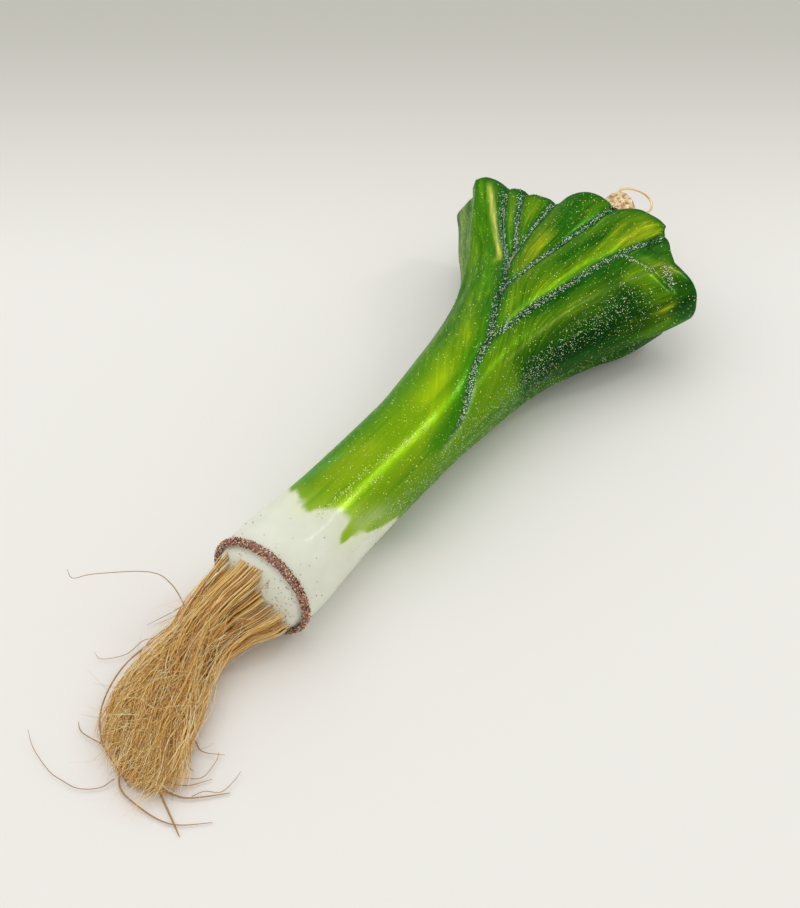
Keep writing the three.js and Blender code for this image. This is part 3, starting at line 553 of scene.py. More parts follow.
def lacquer_tones(s, angle, radius, lane):
    """The green lacquer at each point as screen tones, before the fine streaks, with painted shade in
    the grooves, on the underside and on the shaft's side away from the light, and a painted highlight
    on the shaft.
    """
    leafy = ease(LEAF_TONE_START, LEAF_TONE_FULL, s)[..., None]
    tone = mix(np.array(SHAFT_TONE, float), np.array(LEAF_TONE, float), leafy)
    around = np.mod(angle, 360) / 360
    in_lanes = ease(LEAF_LANES_START, LEAF_LANES_FULL, s)
    brushed = mix(streaks(around, s, 70, 22, 1), streaks(lane, s, 96, 17, 2), in_lanes)
    wide = mix(streaks(around, s, 24, 16, 3), streaks(lane, s, 40, 13, 4), in_lanes)
    tone = cover(tone, 0.55 * ease(0.5, 0.95, wide), LIGHT_BRUSH_TONE)
    tone = cover(tone, 0.5 * ease(0.5, 0.05, brushed), DEEP_BRUSH_TONE)
    grooves = []
    for name, (_, start, full, _) in GROOVE_LINES.items():
        away = distance_to_line(groove_curves[name], s, angle, radius)
        grooves.append((away, ease(start - 4, mix(start, full, 0.4), s)))
    # Painted shade along the flanks of the grooves.
    for away, begun in grooves:
        tone = cover(tone, 0.5 * begun * bell(away, GROOVE_FLANK), GROOVE_FLANK_SHADE_TONE)
    for path, half_width, colour, strength in STROKES:
        share = strength * stroke_share(path, half_width, s, angle, radius)
        tone = cover(tone, share * mix(0.7, 1.15, brushed), colour)
    # The groove floors: dark teal, partly the colour of their glitter and partly painted shade.
    for away, begun in grooves:
        tone = cover(tone, 0.95 * begun * bell(away, GROOVE_CORE), GROOVE_TONE)
    # Painted shade on the fan's underside, turned away from the light.
    turned = wrap(angle)
    below = window(*UNDERSIDE_ANGLES, turned) * ease(UNDERSIDE_START, UNDERSIDE_FULL, s)
    tone = cover(tone, 0.65 * below, UNDERSIDE_SHADE_TONE)
    beside = bell(wrap(angle, 360, -180), SIDE_WALL_HALF_WIDTH)
    beside = beside * ease(SIDE_WALL_START, SIDE_WALL_FULL, s)
    tone = cover(tone, 0.8 * beside, SIDE_WALL_TONE)
    to_rim = np.maximum(rim_reach(turned) - s, 0)
    return cover(tone, 0.85 * bell(to_rim, mix(1.5, 3.5, brushed)), RIM_TONE)


# The fine streaks: how much of them shows on the shaft and on the leaves, how often they change
# round the leek and per mm along it, and what they multiply the lacquer's red, green and blue by.
SHAFT_STREAKS, LEAF_STREAKS = 0.16, 0.72
FLOW_AROUND, FLOW_ALONG = 14, 0.06
BRIGHT_STREAK = (2.3, 1.7, 1.4, 1)
DEEP_STREAK = (0.32, 0.5, 0.5, 1)
# What makes the start of the green ragged: stretch, scale, detail and roughness of the noise,
# and its reach in mm.
RAGGED_START = [(0.5, 420, 4, 0.6, 4), (0.8, 130, 2, 0.55, 7)]


def glass_body():
    points, s, angle = glass_grid()
    rows, columns = s.shape
    obj = make_object("glass_body", points, ring_faces(rows, columns))
    radius = np.maximum(body_radius(s, angle), 1.0)
    lane = np.broadcast_to(np.arange(columns) / columns, s.shape)
    green = LACQUER_DEPTH * to_linear(lacquer_tones(s, angle, radius, lane))
    turn = 2 * math.pi * lane
    flow = [FLOW_AROUND * np.cos(turn), FLOW_AROUND * np.sin(turn), s * FLOW_ALONG]
    mesh = obj.data
    fill(mesh.color_attributes.new("green", "FLOAT_COLOR", "POINT"), "color",
         np.insert(green, 3, 1.0, axis=-1))
    fill(mesh.attributes.new("past_start", "FLOAT", "POINT"), "value",
         s - green_start(wrap(angle)))
    fill(mesh.attributes.new("streaky", "FLOAT", "POINT"), "value",
         mix(SHAFT_STREAKS, LEAF_STREAKS, ease(60, 96, s)))
    fill(mesh.attributes.new("flow", "FLOAT_VECTOR", "POINT"), "vector", np.stack(flow, -1))
    return own(obj, "glass_leek")


def lacquer():
    """Glossy green lacquer with fine brushed streaks, and a pearly white root end."""
    shader = Shader("green lacquer on glass")
    flow = shader.attribute("flow", "Vector")
    green = shader.attribute("green", "Color")
    streaky = shader.attribute("streaky")
    for scale in (1.2, 3.1):
        brush = shader.noise(flow, scale, 3)
        bright = shader.maths("MULTIPLY", shader.between(0.53, 0.74, brush), streaky)
        deep = shader.maths("MULTIPLY", shader.between(0.48, 0.28, brush), streaky)
        green = shader.blend(bright, green, BRIGHT_STREAK, "MULTIPLY")
        green = shader.blend(deep, green, DEEP_STREAK, "MULTIPLY")
    gap = shader.attribute("past_start")
    for along, scale, detail, roughness, reach in RAGGED_START:
        ragged = shader.noise(shader.stretched(along), scale, detail, roughness)
        shift = shader.maths("MULTIPLY", shader.maths("SUBTRACT", ragged, 0.5), reach)
        gap = shader.maths("ADD", gap, shift)
    painted = shader.between(-1.3, 1.3, gap)
    thin = shader.maths("MULTIPLY", shader.between(7, 0, gap), 0.5)
    green = shader.blend(thin, green, rgba(176, 208, 70))
    cloudy = shader.noise(shader.stretched(), 160, 2)
    pearl = shader.blend(cloudy, rgba(214, 218, 198), rgba(236, 238, 224))
    breath = shader.maths("MULTIPLY", shader.between(-8, 0, gap), 0.3)
    pearl = shader.blend(breath, pearl, rgba(214, 228, 170))
    waves = shader.bump(shader.noise(shader.stretched(0.6), 520, 3), 0.3, 0.2)
    shader.set(Base_Color=shader.blend(painted, pearl, green), Normal=waves, Coat_Normal=waves,
               Roughness=0.3, IOR=1.35, Specular_IOR_Level=0.12, Coat_Weight=0.12,
               Coat_Roughness=0.08, Coat_IOR=1.45,
               Metallic=shader.maths("MULTIPLY", painted, 0.62),
               Specular_Tint=shader.blend(painted, rgba(255, 255, 255), rgba(134, 196, 60)))
    return shader.material


# Glitter flakes. A look is a name, a tone, a roughness, a share of metal and a weight.

YELLOW_LOOKS = [("pale flake", (244, 248, 170), 0.5, 0, 3),
                ("yellow flake", (226, 238, 80), 0.5, 0, 4),
                ("leaf flake", (150, 200, 40), 0.4, 0.4, 3)]
DUST_LOOKS = [("white dust", (228, 240, 206), 0.5, 0, 3),
              ("grey dust", (176, 198, 160), 0.5, 0, 4),
              ("green dust", (104, 150, 70), 0.5, 0, 3)]
GROOVE_LOOKS = [("silver flake", (214, 232, 206), 0.4, 0.2, 4),
                ("white flake", (248, 252, 230), 0.5, 0, 4),
                ("teal flake", (24, 92, 74), 0.35, 0.4, 4.5),
                ("moss flake", (110, 170, 80), 0.4, 0.4, 2)]
FLAKE_TILT = 0.35
LOWEST_GRAIN = 0.01


def flakes(name, spots, outward, sizes, seed):
    """Small four-sided flakes, each tilted a little from the surface that it lies on."""
    draw = np.random.default_rng(seed)
    count = len(spots)
    facing = outward + draw.normal(size=(count, 3)) * FLAKE_TILT
    facing /= np.linalg.norm(facing, axis=1)[:, None]
    first = np.cross(facing, draw.normal(size=(count, 3)))
    first /= np.linalg.norm(first, axis=1)[:, None] + 1e-9
    half = sizes[:, None] / 2
    first, second = first * half, np.cross(facing, first) * half
    first *= draw.uniform(0.75, 1.3, size=(count, 1))
    points = spots[:, None, :] + np.stack([first, second, -first, -second], 1)
    points[..., 2] = np.maximum(points[..., 2], LOWEST_GRAIN)
    return make_object(name, points, np.arange(4 * count).reshape(-1, 4).tolist(), smooth=False)


def paint(obj, picks):
    """Gives each flake, grain or fibre the material that was picked for it."""
    run = len(obj.data.polygons) // len(picks)
    obj.data.polygons.foreach_set("material_index", np.repeat(picks, run))
    obj.data.update()


def share_looks(obj, looks, count, seed):
    """Gives each of the flakes or grains one of the looks at random, by their weights."""
    for name, tone, roughness, metallic, _ in looks:
        obj.data.materials.append(plain(name, tone, roughness, metallic))
    weights = np.array([look[-1] for look in looks])
    draw = np.random.default_rng(seed)
    paint(obj, draw.choice(len(looks), count, p=weights / weights.sum()))


# Flakes scattered over the whole glass before they are thinned out, the span of s that they
# fall on, and a radius that no leaf reaches.
LIGHT_FLAKES, HEAVY_FLAKES = 110000, 290000
FLAKES_FIRST_S, FLAKES_LAST_S, WIDEST_RADIUS = 12, 146, 38
# Shares of them that stay: loose ones everywhere, and dust below, behind and on the dusted line.
LIGHT_SHARE, DUST_BELOW, DUST_BEHIND, DUST_ON_LINE = 0.2, 0.42, 0.26, 0.5
# The dusted lower side of the leaves as (s, angle), and the s where it begins, is full and ends.
DUSTED_LINE = [(74, 166), (90, 167), (98, 165), (108, 161), (122, 161)]
DUSTED_HALF_WIDTH, DUSTED_S = 10, (78, 90, 119, 126)
dusted_line = smooth_curve(DUSTED_LINE)
# Lines of flakes packed along the shaft's highlight, real glitter set densely as a painted glint, as
# (s, angle), with the flakes per mm of s and their spread in degrees.
GLINT_FLAKE_LINES = [([(16, 110), (24, 110.5), (31.6, 111.5), (42.9, 117.3), (55.1, 125)], 11, 2.6),
               ([(24, 118), (30, 123), (36, 129)], 10, 1.6)]
# Bands of flakes in the grooves, and the two patches on the folded lip, from and to (s, angle).
GROOVE_FLAKES_PER_MM, GROOVE_MEAN_END, GROOVE_LAST_S = 28, 142, 145
LIP_PATCHES = [((129, 143), (130, 156)), ((133, 157), (130.6, 166))]
LIP_FLAKES, LIP_SPREAD = 170, (0.5, 1.2)


def light_share(s, angle):
    """Share of the loose yellowish flakes that stay at each place."""
    return LIGHT_SHARE * ease(16, 34, s)


def heavy_share(s, angle):
    """Share of the whitish dust: along the near underside, the dusted line and the back."""
    turned = wrap(angle)
    begins = mix(144, 186, ease(88, 102, s))
    low = window(begins, begins + 30, 236, 262, turned) * ease(16, 40, s)
    back = (ease(300, 330, turned) + 1 - ease(4, 20, turned)) * ease(30, 70, s)
    dusted = bell(turned - dusted_line(s), DUSTED_HALF_WIDTH) * window(*DUSTED_S, s)
    return np.clip(DUST_BELOW * low + DUST_BEHIND * back + DUST_ON_LINE * dusted, 0, 1)


def inside_rim(s, angle, margin):
    return s < rim_reach(wrap(angle)) - margin


def scattered(share, count, seed):
    """Spots (s, angle) on the glass, as dense as the share says at each place."""
    draw = np.random.default_rng(seed)
    s = draw.uniform(FLAKES_FIRST_S, FLAKES_LAST_S, count)
    angle = draw.uniform(TURN_START, 360 + TURN_START, count)
    room = body_radius(s, angle) / WIDEST_RADIUS
    kept = (draw.random(count) < share(s, angle) * room) & inside_rim(s, angle, 0.4)
    return s[kept], angle[kept]


def glitter(name, spots, sizes, looks, seed):
    """A piece of flakes on the glass. Spots are pairs of arrays, s and angle."""
    points, outward = surface_frame(*np.concatenate(spots, axis=1))
    sizes = np.random.default_rng(seed).uniform(*sizes, len(points))
    obj = flakes(name, points, outward, sizes, seed + 1)
    share_looks(obj, looks, len(points), seed + 2)
    return own(obj)


def leaf_glitter():
    """Loose yellowish flakes, with lines of them down the shaft as a painted glint."""
    draw = np.random.default_rng(20)
    spots = [scattered(light_share, LIGHT_FLAKES, 21)]
    for line, per_mm, spread in GLINT_FLAKE_LINES:
        first, last = line[0][0], line[-1][0]
        s = draw.uniform(first, last, int(per_mm * (last - first)))
        off = draw.normal(size=len(s)) * spread * draw.uniform(0.3, 1.6, len(s))
        spots.append((s, smooth_curve(line)(s) + off))
    glitter("leaf_glitter", spots, (0.15, 0.3), YELLOW_LOOKS, 22)


def leaf_dust():
    """Whitish dust that lies thickest on the near underside."""
    glitter("leaf_dust", [scattered(heavy_share, HEAVY_FLAKES, 25)], (0.14, 0.26), DUST_LOOKS, 26)


def groove_glitter():
    """Silver and teal flakes in the grooves between the leaves and on the folded lip."""
    draw = np.random.default_rng(24)
    spots = []
    for name, (_, start, full, _) in GROOVE_LINES.items():
        line = groove_curves[name]
        for half in (0, 180):
            count = int(GROOVE_FLAKES_PER_MM * (GROOVE_MEAN_END - start))
            s = draw.uniform(start, GROOVE_LAST_S, count)
            middle = line(s) + half
            radius = body_radius(s, middle)
            spread = mix(0.55, 0.3, ease(100, 112, s)) * mix(0.6, 1.5, draw.random(count))
            slant = np.hypot(1, radius * np.radians(line(s + 0.5) - line(s - 0.5)))
            angle = middle + np.degrees(draw.normal(size=count) * spread * slant / radius)
            begun = ease(mix(start, full, 0.12), mix(start, full, 0.35), s)
            kept = inside_rim(s, angle, 0.5) & (draw.random(count) < begun)
            spots.append((s[kept], angle[kept]))
    for first, last in LIP_PATCHES:
        way = draw.random(LIP_FLAKES)
        spots.append([mix(first[k], last[k], way) + draw.normal(size=LIP_FLAKES) * LIP_SPREAD[k]
                      for k in (0, 1)])
    glitter("groove_glitter", spots, (0.17, 0.32), GROOVE_LOOKS, 29)


# Glitter ring. Its section is given as (radius, s), from the inner top round the outside.

RING_SECTION = [(11.45, 0.55), (11.9, 0.15), (12.4, 0.55), (12.65, 1.2), (12.45, 2.0),
                (12.05, 2.1)]
RING_GRAINS, RING_GRAIN_SIZES = 3600, (0.22, 0.44)
# Single grains that fell on the base face, most at its near side, and on the shaft.
BASE_GRAINS, SHAFT_GRAINS, FALLEN_GRAIN_SIZES = 240, 90, (0.16, 0.34)
FALLEN_MIDDLE, FALLEN_SPREAD, BASE_GRAIN_RADIUS, SHAFT_GRAIN_S = 190, 74.4845, 10.9, 2.6
GRAIN_LOOKS = [("brown grain", (160, 104, 84), 0.35, 0.5, 4),
               ("dark grain", (62, 36, 32), 0.4, 0.4, 3),
               ("pink grain", (222, 168, 158), 0.3, 0.7, 3.5),
               ("gold grain", (246, 216, 150), 0.3, 0.6, 3),
               ("pale grain", (240, 226, 212), 0.3, 0.4, 2.5)]
GRAIN_TIPS = [(1, 0, 0), (0, 1, 0), (-1, 0, 0), (0, -1, 0), (0, 0, 1), (0, 0, -1)]
GRAIN_SIDES = [(0, 1, 4), (1, 2, 4), (2, 3, 4), (3, 0, 4), (1, 0, 5), (2, 1, 5), (3, 2, 5), (0, 3, 5)]


def grains(name, spots, sizes, seed):
    """Small irregular eight-sided grains."""
    draw = np.random.default_rng(seed)
    count = len(spots)
    turned = np.linalg.qr(draw.normal(size=(count, 3, 3)))[0]
    stretch = draw.uniform(0.55, 1.25, size=(count, 6, 1))
    tips = (np.array(GRAIN_TIPS, float) * stretch) @ turned
    points = spots[:, None, :] + tips * sizes[:, None, None] / 2
    points[..., 2] = np.maximum(points[..., 2], LOWEST_GRAIN)
    faces = np.arange(count)[:, None, None] * len(GRAIN_TIPS) + np.array(GRAIN_SIDES)
    return make_object(name, points, faces.reshape(-1, 3).tolist(), smooth=False)


def ring_spots(draw):
    corners = np.array(RING_SECTION)
    steps = np.linalg.norm(np.diff(corners, axis=0), axis=1)
    far = np.concatenate([[0], np.cumsum(steps)])
    place = draw.uniform(0, far[-1], RING_GRAINS)
    radius = np.interp(place, far, corners[:, 0]) + draw.normal(size=RING_GRAINS) * 0.05
    s = np.interp(place, far, corners[:, 1]) + draw.normal(size=RING_GRAINS) * 0.1
    return outer_point(s, draw.uniform(0, 360, RING_GRAINS), radius)


def fallen_spots(draw):
    angle = draw.normal(size=BASE_GRAINS) * FALLEN_SPREAD + FALLEN_MIDDLE
    inward = np.minimum(np.abs(draw.normal(size=BASE_GRAINS)) * 3, 9)
    radius = BASE_GRAIN_RADIUS - inward
    on_base = outer_point(base_face(radius) - 0.08, angle, radius)
    s = SHAFT_GRAIN_S + np.abs(draw.normal(size=SHAFT_GRAINS)) * 5
    angle = draw.uniform(0, 360, SHAFT_GRAINS)
    return np.concatenate([on_base, outer_point(s, angle, shaft_radius(s) + 0.04)])


def ring_grains():
    """The loose grains over the ring, with the few that fell beside it."""
    draw = np.random.default_rng(31)
    spots = np.concatenate([ring_spots(draw), fallen_spots(draw)])
    sizes = draw.uniform(*RING_GRAIN_SIZES, len(spots))
    sizes[RING_GRAINS:] = draw.uniform(*FALLEN_GRAIN_SIZES, len(spots) - RING_GRAINS)
    obj = grains("ring_grains", spots, sizes, 32)
    share_looks(obj, GRAIN_LOOKS, len(spots), 33)
    return own(obj)


def dent(node, grain, depth):
    """Fine dents and creases in a thin pressed solid. Sizes in mm."""
    node.modifiers.new("weld", "WELD").merge_threshold = 0.01 * MM
    finer = node.modifiers.new("finer", "SUBSURF")
    finer.subdivision_type = "SIMPLE"
    finer.levels = finer.render_levels = 2
    dents = bpy.data.textures.new("dents", "CLOUDS")
    dents.noise_scale = grain * MM
    dents.noise_depth = 1
    push = node.modifiers.new("dents", "DISPLACE")
    push.texture = dents
    push.strength = depth * MM
    push.mid_level = 0.5


# Root tassel: the height of its middle and half its thickness by x, as in the solid.

TASSEL = [(-50, 1.8, 1.6), (-45.5, 2.5, 2.3), (-41, 3.2, 3.0), (-35, 3.9, 3.7), (-28, 4.6, 4.3),
          (-20, 5.7, 5.3), (-14, 7.2, 6.6), (-8, 9.6, 8.2), (-2, 11.5, 9.0)]
# The fibres' own way: middle and half width by x, wider at the lying end than the solid.
FIBRE_SPREAD = [(-48, -5.4, 7.0), (-44.5, -4.4, 8.8), (-40, -2.4, 10.0), (-34, 0.1, 10.6),
                (-28, 1.4, 10.8), (-20, 3.5, 9.7), (-14, 4.0, 8.8), (-8, 2.7, 8.5), (-2, 0.4, 9.2)]
bunch_height = smooth_curve([(x, z) for x, z, _ in TASSEL])
bunch_thickness = smooth_curve([(x, half) for x, _, half in TASSEL])
fibre_middle = smooth_curve([(x, y) for x, y, _ in FIBRE_SPREAD])
fibre_width = smooth_curve([(x, half) for x, _, half in FIBRE_SPREAD])
FIBRE_FILL, FIBRE_TIP, LOWEST_FIBRE = 0.86, 0.35, 0.02


def smooth_path(points, steps):
    """Points of a Catmull-Rom curve through the given points."""
    points = np.asarray(points, float)
    full = np.concatenate([[2 * points[0] - points[1]], points, [2 * points[-1] - points[-2]]])
    t = np.linspace(0, 1, steps, endpoint=False)[:, None]
    spans = [0.5 * (2 * b + (c - a) * t + (2 * a - 5 * b + 4 * c - d) * t * t
                    + (3 * b - a - 3 * c + d) * t ** 3)
             for a, b, c, d in zip(full, full[1:], full[2:], full[3:])]
    return np.concatenate(spans + [points[-1:]])


def add_fibre(points, faces, path, radius, sides):
    """Adds a thin tapered tube along a path, kept above the surface that the leek lies on."""
    path = np.asarray(path, float)
    along = np.gradient(path, axis=0)
    along /= np.linalg.norm(along, axis=1)[:, None] + 1e-9
    side = np.cross([0.0, 0.0, 1.0], along)
    side /= np.linalg.norm(side, axis=1)[:, None] + 1e-9
    up = np.cross(along, side)
    share = np.linspace(0, 1, len(path))
    thick = radius * mix(1, FIBRE_TIP, share ** 3)
    first = len(points)
    for i in range(len(path)):
        for k in range(sides):
            turn = 2 * math.pi * k / sides
            corner = path[i] + thick[i] * (math.cos(turn) * side[i] + math.sin(turn) * up[i])
            corner[2] = max(corner[2], LOWEST_FIBRE)
            points.append(corner)
    faces.extend(ring_faces(len(path), sides, first))


# Tufts of fibres: their number, where they are glued on, how far their fibres stray and kink,
# how they curl at the end, the x where they end at the middle and at the sides of the bunch, and
# how much shorter some are. In a sparse tuft only one fibre in three is there.
FIBRES, BUNDLES, LONE_FIBRES, SPARSE = 1300, 50, 0.44, 3
BASE_REACH, GLUE_DEPTH, GLUED_SHARE = 9.2, 0.25, 0.16
ROOT_STRAY, REST_STRAY, KINK, CURL = 0.13, 0.16, 0.13, (-1.0, 1.8)
MIDDLE_END, SIDE_END, SHORTER = -47.6, -43.5, (0, 1, 2, 4, 9)
FIBRE_POINTS, FIBRE_RADII, LOWEST_PATH = 15, (0.05, 0.06, 0.08, 0.1, 0.12, 0.18), 0.22
# The waist of the bunch: how much narrower, and where along a fibre.
WAIST, WAIST_AT, WAIST_REACH = 0.1, 0.34, 0.16
FUZZ, FUZZ_FIRST_X, FUZZ_LAST_X, FUZZ_BEND, LOWEST_FUZZ = 1000, -5, -46, 2.6, 0.15
STRAW_TONES = [(250, 218, 152), (240, 194, 108), (255, 238, 190), (214, 158, 76), (246, 208, 126),
               (190, 134, 68)]


def fibre_spot(x, across, up):
    """A spot in the bunch, from -1 to 1 across it and up it."""
    return np.array([x - ORIGIN_X, fibre_middle(x) - ORIGIN_Y + fibre_width(x) * across,
                     bunch_height(x) + FIBRE_FILL * bunch_thickness(x) * up])


def fibre_path(draw, root, rest, end, wave):
    """A fibre from its root on the base face through the waist to where it comes to rest."""
    phase, pace = draw.uniform(0, 6.28), draw.uniform(3, 9)
    curl = draw.gauss(*CURL)
    start = float(base_face(BASE_REACH * math.hypot(*root))) - GLUE_DEPTH
    path = []
    for t in np.linspace(0, 1, FIBRE_POINTS):
        x = mix(start, end, t)
        far = float(ease(0.12, 0.95, t))
        across = mix(root[0], rest[0], far) * (1 - WAIST * bell(t - WAIST_AT, WAIST_REACH))
        across += wave * min(1, 2.5 * t) * math.sin(phase + pace * t)
        up = mix(root[1], rest[1], far) * (1 - 0.15 * t)
        up += 0.5 * wave * t * math.cos(phase + pace * t)
        spot = fibre_spot(x, np.clip(across, -1.08, 1.08), min(up, 1.05))
        spot[1] += curl * float(ease(0.72, 1, t)) ** 2
        spot[1:] += [draw.gauss(0, KINK), draw.gauss(0, KINK)]
        glued = to_part(start, BASE_REACH * root[0], BASE_REACH * root[1])
        glued[0] = x - ORIGIN_X
        spot = mix(glued, spot, float(ease(0, GLUED_SHARE, t)))
        spot[2] = max(spot[2], LOWEST_PATH)
        path.append(spot)
    return path


def fibre_object(name, fibres, sides=3):
    """One piece of many fibres, given as (path, radius)."""
    points, faces = [], []
    for path, radius in fibres:
        add_fibre(points, faces, path, radius, sides)
    return make_object(name, points, faces)


def straw_tones(obj, count, seed, lighter=1.0):
    """Each of the fibres takes one straw tone."""
    for i, tone in enumerate(STRAW_TONES):
        lit = [lighter * part for part in tone]
        obj.data.materials.append(plain(f"{obj.name} straw {i}", lit, 0.6))
    paint(obj, np.random.default_rng(seed).integers(0, len(STRAW_TONES), count))


def tassel_fibres():
    """Tufts of fibres that leave the base face apart and lie across each other."""
    draw = random.Random(5)
    fibres = []
    for _ in range(BUNDLES):
        turn = draw.uniform(0, 2 * math.pi)
        depth = math.sqrt(draw.uniform(0.0, 0.9))
        middle = (depth * math.cos(turn), depth * math.sin(turn))
        rest = (np.clip(0.55 * middle[0] + draw.gauss(0, 0.5), -0.95, 0.95),
                np.clip(0.7 * middle[1] + draw.gauss(0, 0.4), -0.9, 0.95))
        wave = draw.uniform(0.02, 0.1)
        sparse = middle[0] < -0.3 and middle[1] > -0.2
        for _ in range(FIBRES // BUNDLES // (SPARSE if sparse else 1)):
            root = [np.clip(part + draw.gauss(0, ROOT_STRAY), -0.97, 0.97) for part in middle]
            aim = [part + draw.gauss(0, REST_STRAY) for part in rest]
            if draw.random() < LONE_FIBRES:
                aim = [draw.uniform(-1, 1), draw.uniform(-0.8, 1)]
            aim = [float(np.clip(part, -1, 1)) for part in aim]
            end = mix(MIDDLE_END, SIDE_END, aim[0] ** 2) + draw.choice(SHORTER) * draw.random()
            path = fibre_path(draw, root, aim, end, wave + draw.uniform(0, 0.1))
            fibres.append((path, draw.choice(FIBRE_RADII)))
    obj = fibre_object("tassel_fibres", fibres)
    straw_tones(obj, len(fibres), 41)
    return own(obj, "root_tassel")


def tassel_fuzz():
    """Short fine fibres that lie every way in the bunch, few of them sticking out of it."""
    draw = random.Random(6)
    fibres = []
    for _ in range(FUZZ):
        x = mix(FUZZ_FIRST_X, FUZZ_LAST_X, draw.random() ** 0.7)
        turn = draw.uniform(0, math.pi)
        share = draw.uniform(0.7, 1.0)
        spot = fibre_spot(x, share * math.cos(turn), share * math.sin(turn))
        heading = np.array([draw.gauss(-0.8, 0.6), draw.gauss(0, 0.6), draw.gauss(0.0, 0.12)])
        heading /= np.linalg.norm(heading)
        bend = FUZZ_BEND * np.array([draw.gauss(0, 1), draw.gauss(0, 1), draw.gauss(-0.2, 0.3)])
        length = draw.uniform(3, 8)
        path = np.array([spot + heading * length * t + bend * t * t for t in np.linspace(0, 1, 7)])
        path[:, 2] = np.maximum(path[:, 2], LOWEST_FUZZ)
        x, y = path[-1, :2] + (ORIGIN_X, ORIGIN_Y)
        out = abs(y - fibre_middle(x)) / fibre_width(x)
        if out > 1.02 and draw.random() < 0.8:
            continue
        fibres.append((path, draw.uniform(0.03, 0.05)))
    obj = fibre_object("tassel_fuzz", fibres)
    straw_tones(obj, len(fibres), 42, 1.04)
    return own(obj)


# Stray hairs round the tassel: radius and points (x, y, z) before the origin is taken off.
STRAYS = [
    (0.13, [(-13, 8.2, 11), (-9.6, 15.7, 12), (-9.7, 22.2, 12), (-17, 31.3, 12), (-20.5, 34.1, 12),
            (-19.4, 37, 12)]),
    (0.12, [(-3.8, 11, 6), (-4.9, 16.1, 2), (-9, 17.6, 1.4), (-14.7, 19.8, 1)]),
    (0.1, [(-17, 12, 4), (-18.7, 16.7, 2), (-23.2, 17.8, 1), (-27.3, 21.1, 1), (-26.9, 23.8, 1)]),
    (0.13, [(-43.7, 5.6, 1.4), (-43.7, 11.1, 1), (-42.1, 13.7, 1)]),
    (0.11, [(-48.3, -2.1, 1), (-51.3, -1.2, 0.8), (-54, 2.2, 0.8), (-54.6, 6.6, 1),
            (-54.4, 10, 1), (-52.3, 16.3, 1), (-49.7, 20.4, 1.2)]),
    (0.26, [(-42, -4, 1.6), (-44.3, -9.7, 1), (-44, -14.6, 0.8), (-42.3, -17.8, 0.8),
            (-37.2, -22.7, 0.6)]),
    (0.16, [(-41, -6, 1.4), (-42.5, -10.9, 1), (-40.9, -14.8, 0.8), (-36.8, -17.7, 0.6)]),
    (0.1, [(-42.3, -17.2, 0.8), (-40, -18.6, 1), (-38.3, -21.3, 1), (-34.8, -21.7, 1),
           (-32.1, -21.3, 1)]),
    (0.1, [(-42, -9, 1), (-39.8, -13.6, 1), (-37.6, -16.1, 1), (-33.2, -15.7, 1),
           (-31.2, -14.7, 1)]),
    (0.15, [(-30.5, -6.5, 1.4), (-32, -9.3, 1), (-33, -12.1, 1), (-31, -16.2, 1)]),
    (0.13, [(-30, -5.5, 1.4), (-31.5, -7.9, 1), (-36.8, -11.4, 1), (-37.8, -13.9, 1)]),
    (0.24, [(-41, -5, 1.6), (-44.8, -10.6, 1), (-48.6, -17.7, 0.6), (-50.5, -21.2, 0.4)]),
    (0.2, [(-45, -1, 1.4), (-49.2, -4.6, 1), (-50.2, -10.3, 0.8), (-50, -15.8, 0.6),
           (-48.5, -19.7, 0.6), (-44.4, -24.3, 0.5)]),
    (0.2, [(-12, 10.6, 7), (-18, 13, 5), (-28, 14, 4), (-37, 11.6, 2.4), (-43, 6.2, 1.4),
           (-46, -0.6, 1), (-47.8, -6, 0.8)]),
    (0.14, [(-20, 11.6, 5), (-30, 12.6, 3.4), (-38, 9.2, 2), (-42.6, 3.2, 1.2), (-45.4, -3, 0.8)]),
]


def stray_hairs():
    """Darker hairs that lie round the tassel."""
    origin = (ORIGIN_X, ORIGIN_Y, 0)
    hairs = [(smooth_path(np.subtract(hair, origin), 7), radius) for radius, hair in STRAYS]
    obj = fibre_object("stray_hairs", hairs, sides=4)
    obj.data.materials.append(plain("dark straw", (178, 136, 86), 0.6))
    return own(obj)


# Floor, light and camera.

CAMERA_AZIMUTH, CAMERA_RISE = math.radians(-54.2), math.radians(43.0)
CAMERA_TARGET = Vector((-0.00847, -0.00611, 0.0130))
CAMERA_DISTANCE, CAMERA_SENSOR, CAMERA_LENS = 0.3682, 36, 63.44
FORWARD = Vector((-math.sin(CAMERA_AZIMUTH), math.cos(CAMERA_AZIMUTH), 0))
LEFT = Vector((-FORWARD.y, FORWARD.x, 0))
UP = Vector((0, 0, 1))
# The table in mm, and how far behind the ornament its painted shade starts and ends turning it
# greyer.
FLOOR_SIZE, SHADE_START, SHADE_END = 3000, 60, 235
# Lights: place and size in metres, and power. The small one gives the streak on the shaft.
OVERHEAD = (LEFT * 0.35 + FORWARD * 0.2 + UP * 1.25, (1.3, 1.3), 3.8)
STREAK = (Vector((0.593, -0.45, 0.712)), (0.04, 0.2), 0.6)
ROOM_TONE, ROOM_STRENGTH = (1, 0.99, 0.97, 1), 0.8


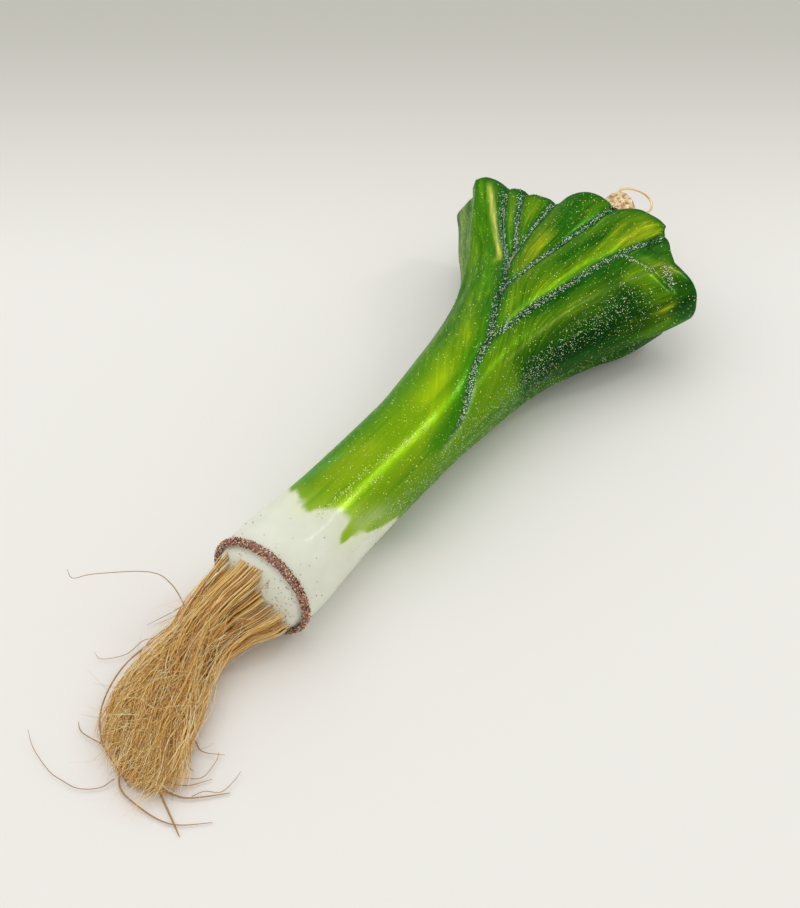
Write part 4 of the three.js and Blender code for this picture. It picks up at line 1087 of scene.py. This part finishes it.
def backdrop():
    """A pale table with painted shade that turns it slightly greyer far behind the ornament, standing
    in for the backdrop curving up away from the light.
    """
    corners = [[-FLOOR_SIZE, -FLOOR_SIZE, 0], [FLOOR_SIZE, -FLOOR_SIZE, 0],
               [FLOOR_SIZE, FLOOR_SIZE, 0], [-FLOOR_SIZE, FLOOR_SIZE, 0]]
    floor = make_object("backdrop", corners, [(0, 1, 2, 3)], smooth=False)
    shader = Shader("pale surface")
    place = shader.node("ShaderNodeSeparateXYZ", {0: shader.coordinates()}).outputs
    ahead = shader.maths("ADD", shader.maths("MULTIPLY", place[0], FORWARD.x),
                         shader.maths("MULTIPLY", place[1], FORWARD.y))
    shade = shader.between(SHADE_START * MM, SHADE_END * MM, ahead)
    shader.set(Base_Color=shader.blend(shade, rgba(240, 238, 234), rgba(193, 192, 184)),
               Roughness=0.8, Specular_IOR_Level=0.2)
    floor.data.materials.append(shader.material)


def stand(name, data, place, target):
    """A light or a camera at its place, turned to the target."""
    obj = bpy.data.objects.new(name, data)
    obj.location = place
    obj.rotation_euler = (target - place).to_track_quat("-Z", "Y").to_euler()
    bpy.context.scene.collection.objects.link(obj)
    return obj


def soft_light(name, place, size, power):
    data = bpy.data.lights.new(name, "AREA")
    data.shape = "RECTANGLE"
    data.size, data.size_y = size
    data.energy = power
    stand(name, data, place, Vector((0, 0, 0)))


def camera():
    data = bpy.data.cameras.new("camera")
    data.sensor_width = CAMERA_SENSOR
    data.lens = CAMERA_LENS
    back = UP * math.sin(CAMERA_RISE) - FORWARD * math.cos(CAMERA_RISE)
    place = CAMERA_TARGET + back * CAMERA_DISTANCE
    bpy.context.scene.camera = stand("camera", data, place, CAMERA_TARGET)


def room_light():
    world = bpy.data.worlds.new("room")
    bpy.context.scene.world = world
    world.use_nodes = True
    background = world.node_tree.nodes["Background"]
    background.inputs["Color"].default_value = ROOM_TONE
    background.inputs["Strength"].default_value = ROOM_STRENGTH


glass_body().data.materials.append(lacquer())
leaf_glitter()
leaf_dust()
groove_glitter()
ring_grains()
tassel_fibres()
tassel_fuzz()
stray_hairs()
CAD_LOOKS = {"glitter_ring": packed_glitter(), "hanging_cap": pressed_gold(),
             "hanging_loop": plain("gold wire", (236, 206, 158), 0.25, 0.75)}
for node, look in CAD_LOOKS.items():
    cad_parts[node].data.materials.clear()
    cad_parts[node].data.materials.append(look)
dent(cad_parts["hanging_cap"], grain=1.1, depth=0.9)

bpy.context.scene.view_settings.view_transform = "Standard"
backdrop()
camera()
room_light()
soft_light("overhead", *OVERHEAD)
soft_light("streak", *STREAK)
